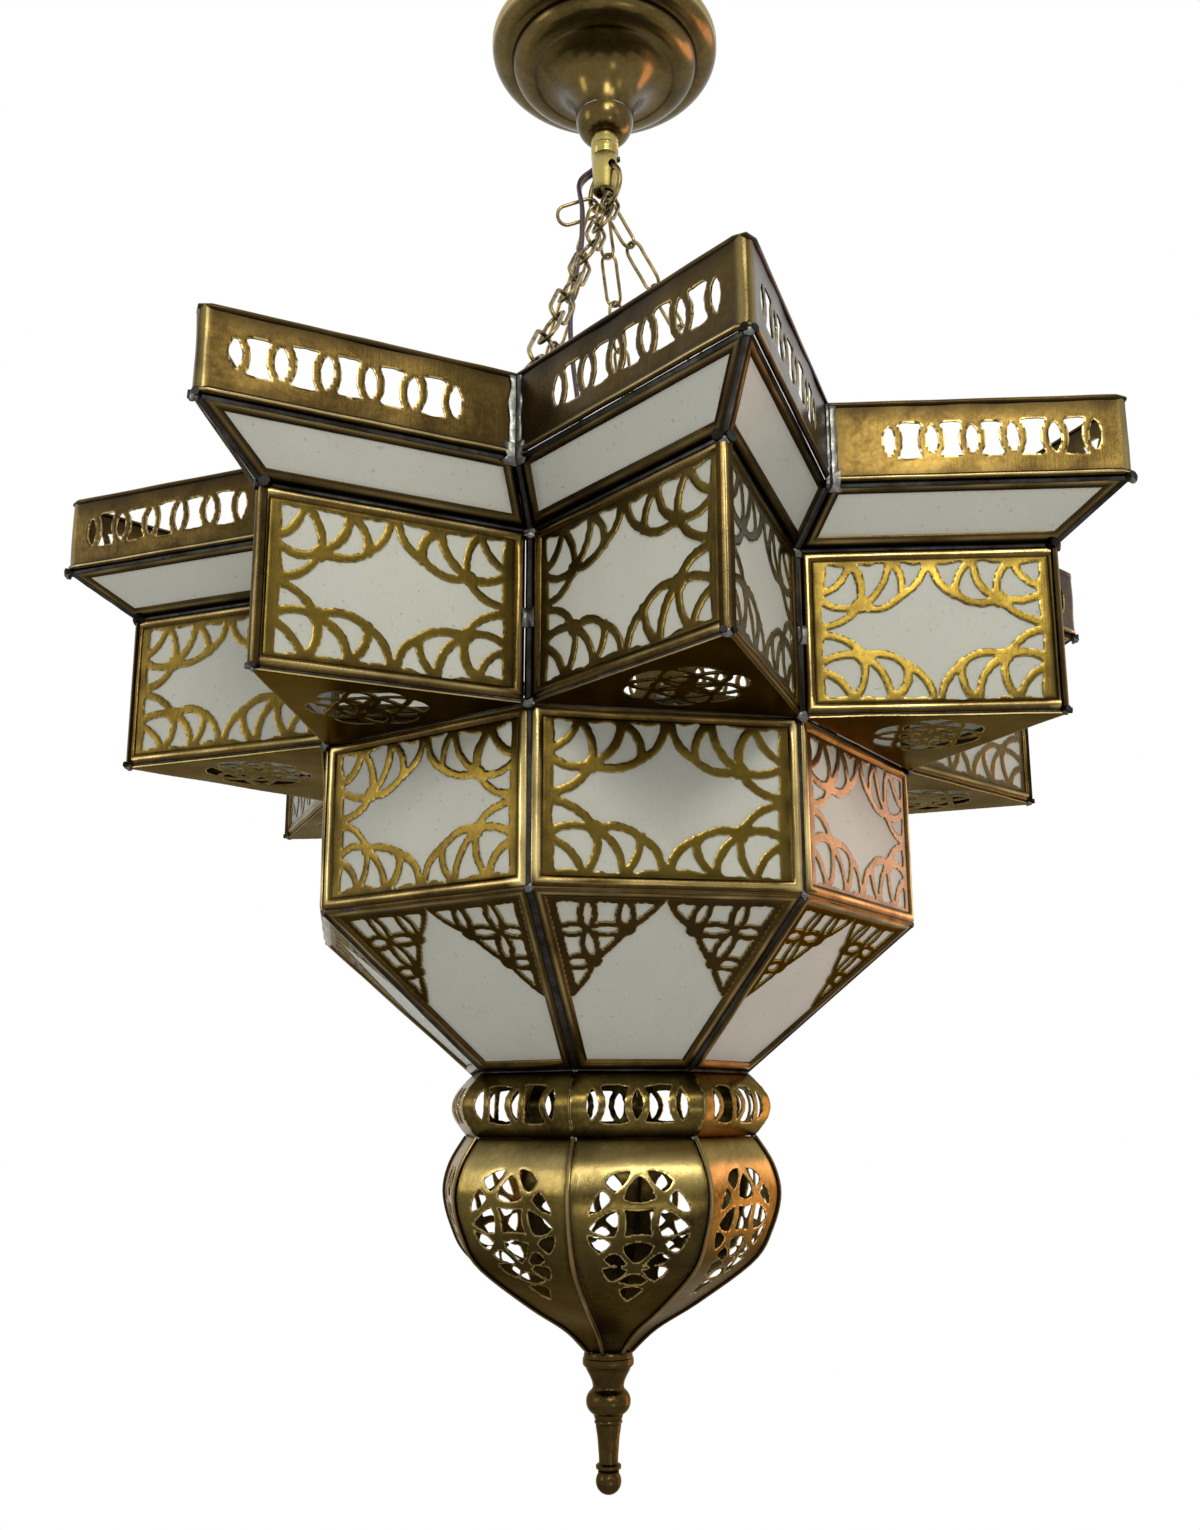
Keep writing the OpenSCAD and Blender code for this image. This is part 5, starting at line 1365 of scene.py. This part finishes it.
# Solder
def blob(parts, centre, normal, size, seed, dirt):
    """A run of solder: a low uneven mound lying on the metal, longer up and down."""
    normal = Vector(normal).normalized()
    along = (-DOWN - normal * (-DOWN).dot(normal)).normalized()
    side = normal.cross(along)
    rows, columns = 9, 20
    flat = [(math.sin(a) * math.cos(b), math.sin(a) * math.sin(b), math.cos(a))
            for a in [math.pi * i / rows for i in range(1, rows)]
            for b in [2 * math.pi * j / columns for j in range(columns)]]
    flat = np.array(flat + [(0, 0, 1), (0, 0, -1)])
    rough = 1 + wobble(flat, 1.1, seed)[:, None] * 0.22 + wobble(flat, 0.5, seed + 1)[:, None] * 0.08
    flat = flat * rough * np.array(size) / 2
    points = (np.array(centre) + flat[:, :1] * np.array(side) + flat[:, 1:2] * np.array(along)
              + flat[:, 2:] * np.array(normal))
    faces = [f[::-1] for f in grid_faces(rows - 1, columns)]
    top, last = (rows - 1) * columns, (rows - 2) * columns
    faces += [(top, a, b) for a, b in round_pairs([*range(columns)])]
    faces += [(last + b, last + a, top + 1) for a, b in round_pairs([*range(columns)])]
    # The mound is painted darker where it meets the metal, as shade in that crease.
    parts.add(points, faces, dirt + 0.3 * share(-flat[:, 2] / size[2] * 2), 0.2)


def weld(parts, start, end, ways, out, width, thick, seed, dirt):
    """A run of solder laid in a corner between two walls, its edges uneven."""
    length = (end - start).length
    rows, columns = max(6, int(length / 1.6)), 9
    u = np.linspace(-1, 1, columns)
    stations = np.linspace(0, 1, rows)
    spot = np.stack(np.meshgrid(stations * length, u * width, indexing="ij"), -1).reshape(-1, 2)
    lump = wobble(spot, 7, seed) * 0.2 + wobble(spot, 2.4, seed + 1) * 0.07
    fade = least(1, least(stations, 1 - stations) * length / 2.5) ** 0.5
    swell = 1 + wobble(stations[:, None] * 60, 26, seed + 2) * 0.16
    front, back = [], []
    for i, t in enumerate(stations):
        base = start.lerp(end, float(t))
        for j, x in enumerate(u):
            flat = base + ways[0 if x < 0 else 1] * float(abs(x) * width * swell[i])
            uneven = float(lump[i * columns + j]) * (1 - abs(x) ** 3)
            rise = thick * fade[i] * (max(0, 1 - x * x) ** 0.5 + uneven)
            front.append(flat + out * float(rise - 0.15))
            back.append(flat - out * 1.2)
    n = rows * columns
    faces = grid_faces(rows, columns, wrap_columns=False)
    faces += [tuple(i + n for i in f[::-1]) for f in faces]
    grid = np.arange(n).reshape(rows, columns)
    rim = [*grid[0], *grid[1:, -1], *grid[-1, -2::-1], *grid[-2:0:-1, 0]]
    faces += [(b, a, a + n, b + n) for a, b in round_pairs(rim)]
    # The run is painted darker along its edges, as shade in the corner, and lighter on its lumps, as a
    # painted highlight.
    grime = share(dirt + 0.5 * np.tile(abs(u) ** 4, rows) - 0.25 * lump)
    parts.add(np.array([tuple(q) for q in front + back]), faces, np.concatenate([grime, grime]), 0.15)


def seam_tube(parts, a, b, inwards, r, seed):
    """The dark fillet inside the joint between two channels: dark solder, darkened further and unevenly as
    painted shade in the groove.
    """
    a, b = a + inwards, b + inwards
    points, faces = swept([a.lerp(b, t) for t in np.linspace(0, 1, 9)], round_section(r, 8))
    points = points + wobble(points, 12, seed)[:, None] * 0.12
    parts.add(points, faces, share(0.55 + 0.5 * wobble(points, 26, seed + 1)))


def seam_piece():
    parts = Gathered()
    for i in range(2 * SIDES):
        a = i * HALF
        inward = -at(1, a, 0)
        tip = i % 2 == 0
        rs, rg = (STAR_TIP_R, FLARE_TIP_R) if tip else (STAR_VALLEY_R, GALLERY_VALLEY_R - 1)
        deep, r = (3.9, 1.35) if tip else (2.2, 2.3)
        seam_tube(parts, at(rs, a, -STAR_TOP), at(rs, a, -STAR_FOOT), inward * deep, r, 2000 + i)
        seam_tube(parts, at(rg, a, -GALLERY_FOOT), at(rs, a, -STAR_TOP), inward * deep, r, 2020 + i)
        out = wall_panel(i).z
        for tip_r, z, r, deep, seed in ((STAR_TIP_R, -STAR_TOP, 2.5, 3.4, 2040),
                                        (STAR_TIP_R, -STAR_FOOT + 0.6, 1.4, 2.8, 2040),
                                        (FLARE_TIP_R, -GALLERY_FOOT - 0.4, 1.8, 2.6, 2060)):
            ends = [at(star_radii(i, tip_r)[j], (i + j) * HALF, z) for j in (0, 1)]
            seam_tube(parts, *ends, -out * deep, r, seed + i)
    for k in range(SIDES):
        a, b = k * STEP - HALF, k * STEP + HALF
        inward, out = -at(1, b, 0), -at(1, k * STEP, 0)
        waist = at(DRUM_R, b, -DRUM_FOOT)
        seam_tube(parts, at(DRUM_R, b, -STAR_FOOT), waist, inward * 3.4, 1.9, 2100 + k)
        seam_tube(parts, waist, at(HOPPER_FOOT_R, b, -HOPPER_FOOT), inward * 3.5, 1.9, 2110 + k)
        for r, z, deep in ((DRUM_R, -STAR_FOOT - 0.8, 2.9), (DRUM_R, -DRUM_FOOT, 3.2),
                           (HOPPER_FOOT_R, -HOPPER_FOOT, 2.2)):
            seam_tube(parts, at(r, a, z), at(r, b, z), out * deep, 1.8, 2120 + k)
    parts.piece("joint_fillets", TINNED)


def solder_piece():
    parts = Gathered()
    rng = random.Random(17)
    for k in range(SIDES):
        a = (k + 0.5) * STEP
        out = at(1, a, 0)
        ways = [(at(GALLERY_TIP_R, tip_angle, 0) - at(GALLERY_VALLEY_R, a, 0)).normalized()
                for tip_angle in (k * STEP, (k + 1) * STEP)]
        for r1, r2, top, foot, width, thick, seed, dirt in (
                (GALLERY_VALLEY_R, GALLERY_VALLEY_R, 321, 361, 3.6, 1.5, 1700, 0.25),
                (GALLERY_VALLEY_R - 0.5, GALLERY_VALLEY_R - 1, 352, 363.5, 5.5, 2.4, 1750, 0.35),
                (STAR_VALLEY_R, STAR_VALLEY_R, 419, 428, 3.4, 2.0, 1780, 0.3)):
            weld(parts, at(r1, a, -top), at(r2, a, -foot), ways, out, width, thick, seed + 3 * k, dirt)
        for z, size in ((-384, (7, 6, 4)), (-461.5, (7, 5, 4))):
            blob(parts, at(STAR_VALLEY_R - 0.4, a, z), out, size, 1800 + 10 * k + size[1], 0.75)
        for r, z, size in ((GALLERY_TIP_R - 4.2, -360.5, (5, 4, 3.4)),
                           (STAR_TIP_R - 3.6, -383.5, (4.6, 5, 3.6)),
                           (STAR_TIP_R - 3.8, -460.8, (4.6, 4, 3.4))):
            grown = rng.uniform(0.8, 1.15)
            blob(parts, at(r, k * STEP, z), at(1, k * STEP, 0), tuple(v * grown for v in size),
                 1850 + 10 * k + size[1], rng.uniform(0.4, 0.8))
        for r, z, size in ((DRUM_R - 2.6, -541.6, (3.8, 4, 3)), (HOPPER_FOOT_R - 1.8, -614.8, (3, 4, 2.8)),
                           (COLLAR_FOOT_R - 0.8, -645.8, (3, 4, 2.6))):
            grown = rng.uniform(0.75, 1.15)
            blob(parts, at(r, a, z), out, tuple(v * grown for v in size), 1900 + 10 * k + int(r),
                 rng.uniform(0.75, 1.0))
    parts.piece("solder_joints", SOLDER)


cord_piece()
glazed_pieces()
gallery_piece()
floor_piece()
shell_pieces()
ceiling_pieces()
finial_pieces()
hanging_pieces()
seam_piece()
solder_piece()


# Studio: each lamp's place, size, power and colour
LAMPS = (("front", (-0.08, -2.0, 0.48), (0.5, 0.7), 17, (1.0, 0.98, 0.88)),
         ("over_front", (0.42, -1.6, 0.6), (0.4, 0.3), 3.5, (1.0, 0.97, 0.86)),
         ("low_front", (0.45, -1.95, -1.26), (0.25, 0.5), 2, (1.0, 0.97, 0.86)),
         ("side_front", (1.48, -1.9, 0.1), (0.5, 0.6), 1.5, (1.0, 0.97, 0.86)),
         ("fill_left", (-2.3, -0.4, 0.05), (0.6, 1.0), 8, (1.0, 0.95, 0.84)),
         ("warm_right", (1.9, 0.55, -0.85), (0.6, 2.1), 17, (1.0, 0.47, 0.33)))


def set_studio():
    middle = Vector((0, 0, -0.45))
    for name, place, size, power, colour in LAMPS:
        data = bpy.data.lights.new(name, "AREA")
        data.shape = "RECTANGLE"
        data.size, data.size_y = size
        data.energy = power
        data.color = colour
        light = bpy.data.objects.new(name, data)
        light.location = place
        light.rotation_euler = (middle - Vector(place)).to_track_quat("-Z", "Y").to_euler()
        bpy.context.collection.objects.link(light)
    world = bpy.data.worlds.new("studio")
    bpy.context.scene.world = world
    world.use_nodes = True
    tree = world.node_tree
    path = tree.nodes.new("ShaderNodeLightPath").outputs
    seen = maths(tree, "MAXIMUM", path["Is Camera Ray"],
                 maths(tree, "MAXIMUM", path["Is Glossy Ray"], path["Is Transmission Ray"]))
    set_inputs(tree, tree.nodes["Background"], Color=(1, 1, 1),
               Strength=spread(tree, seen, 0.0, 1.0, 0.58, 1.0))
    bpy.context.scene.view_settings.view_transform = "Standard"


def floor_disc():
    points, faces = turned([(0, -1500), (1790, -1500), (1800, -1504), (1790, -1508), (0, -1508)], 96)
    floor, mesh = new_object("studio_floor", points, faces)
    material, tree, shader, _ = new_material("pale_floor")
    set_inputs(tree, shader, Base_Color=(0.85, 0.85, 0.84), Roughness=0.8)
    mesh.materials.append(material)


set_studio()
floor_disc()
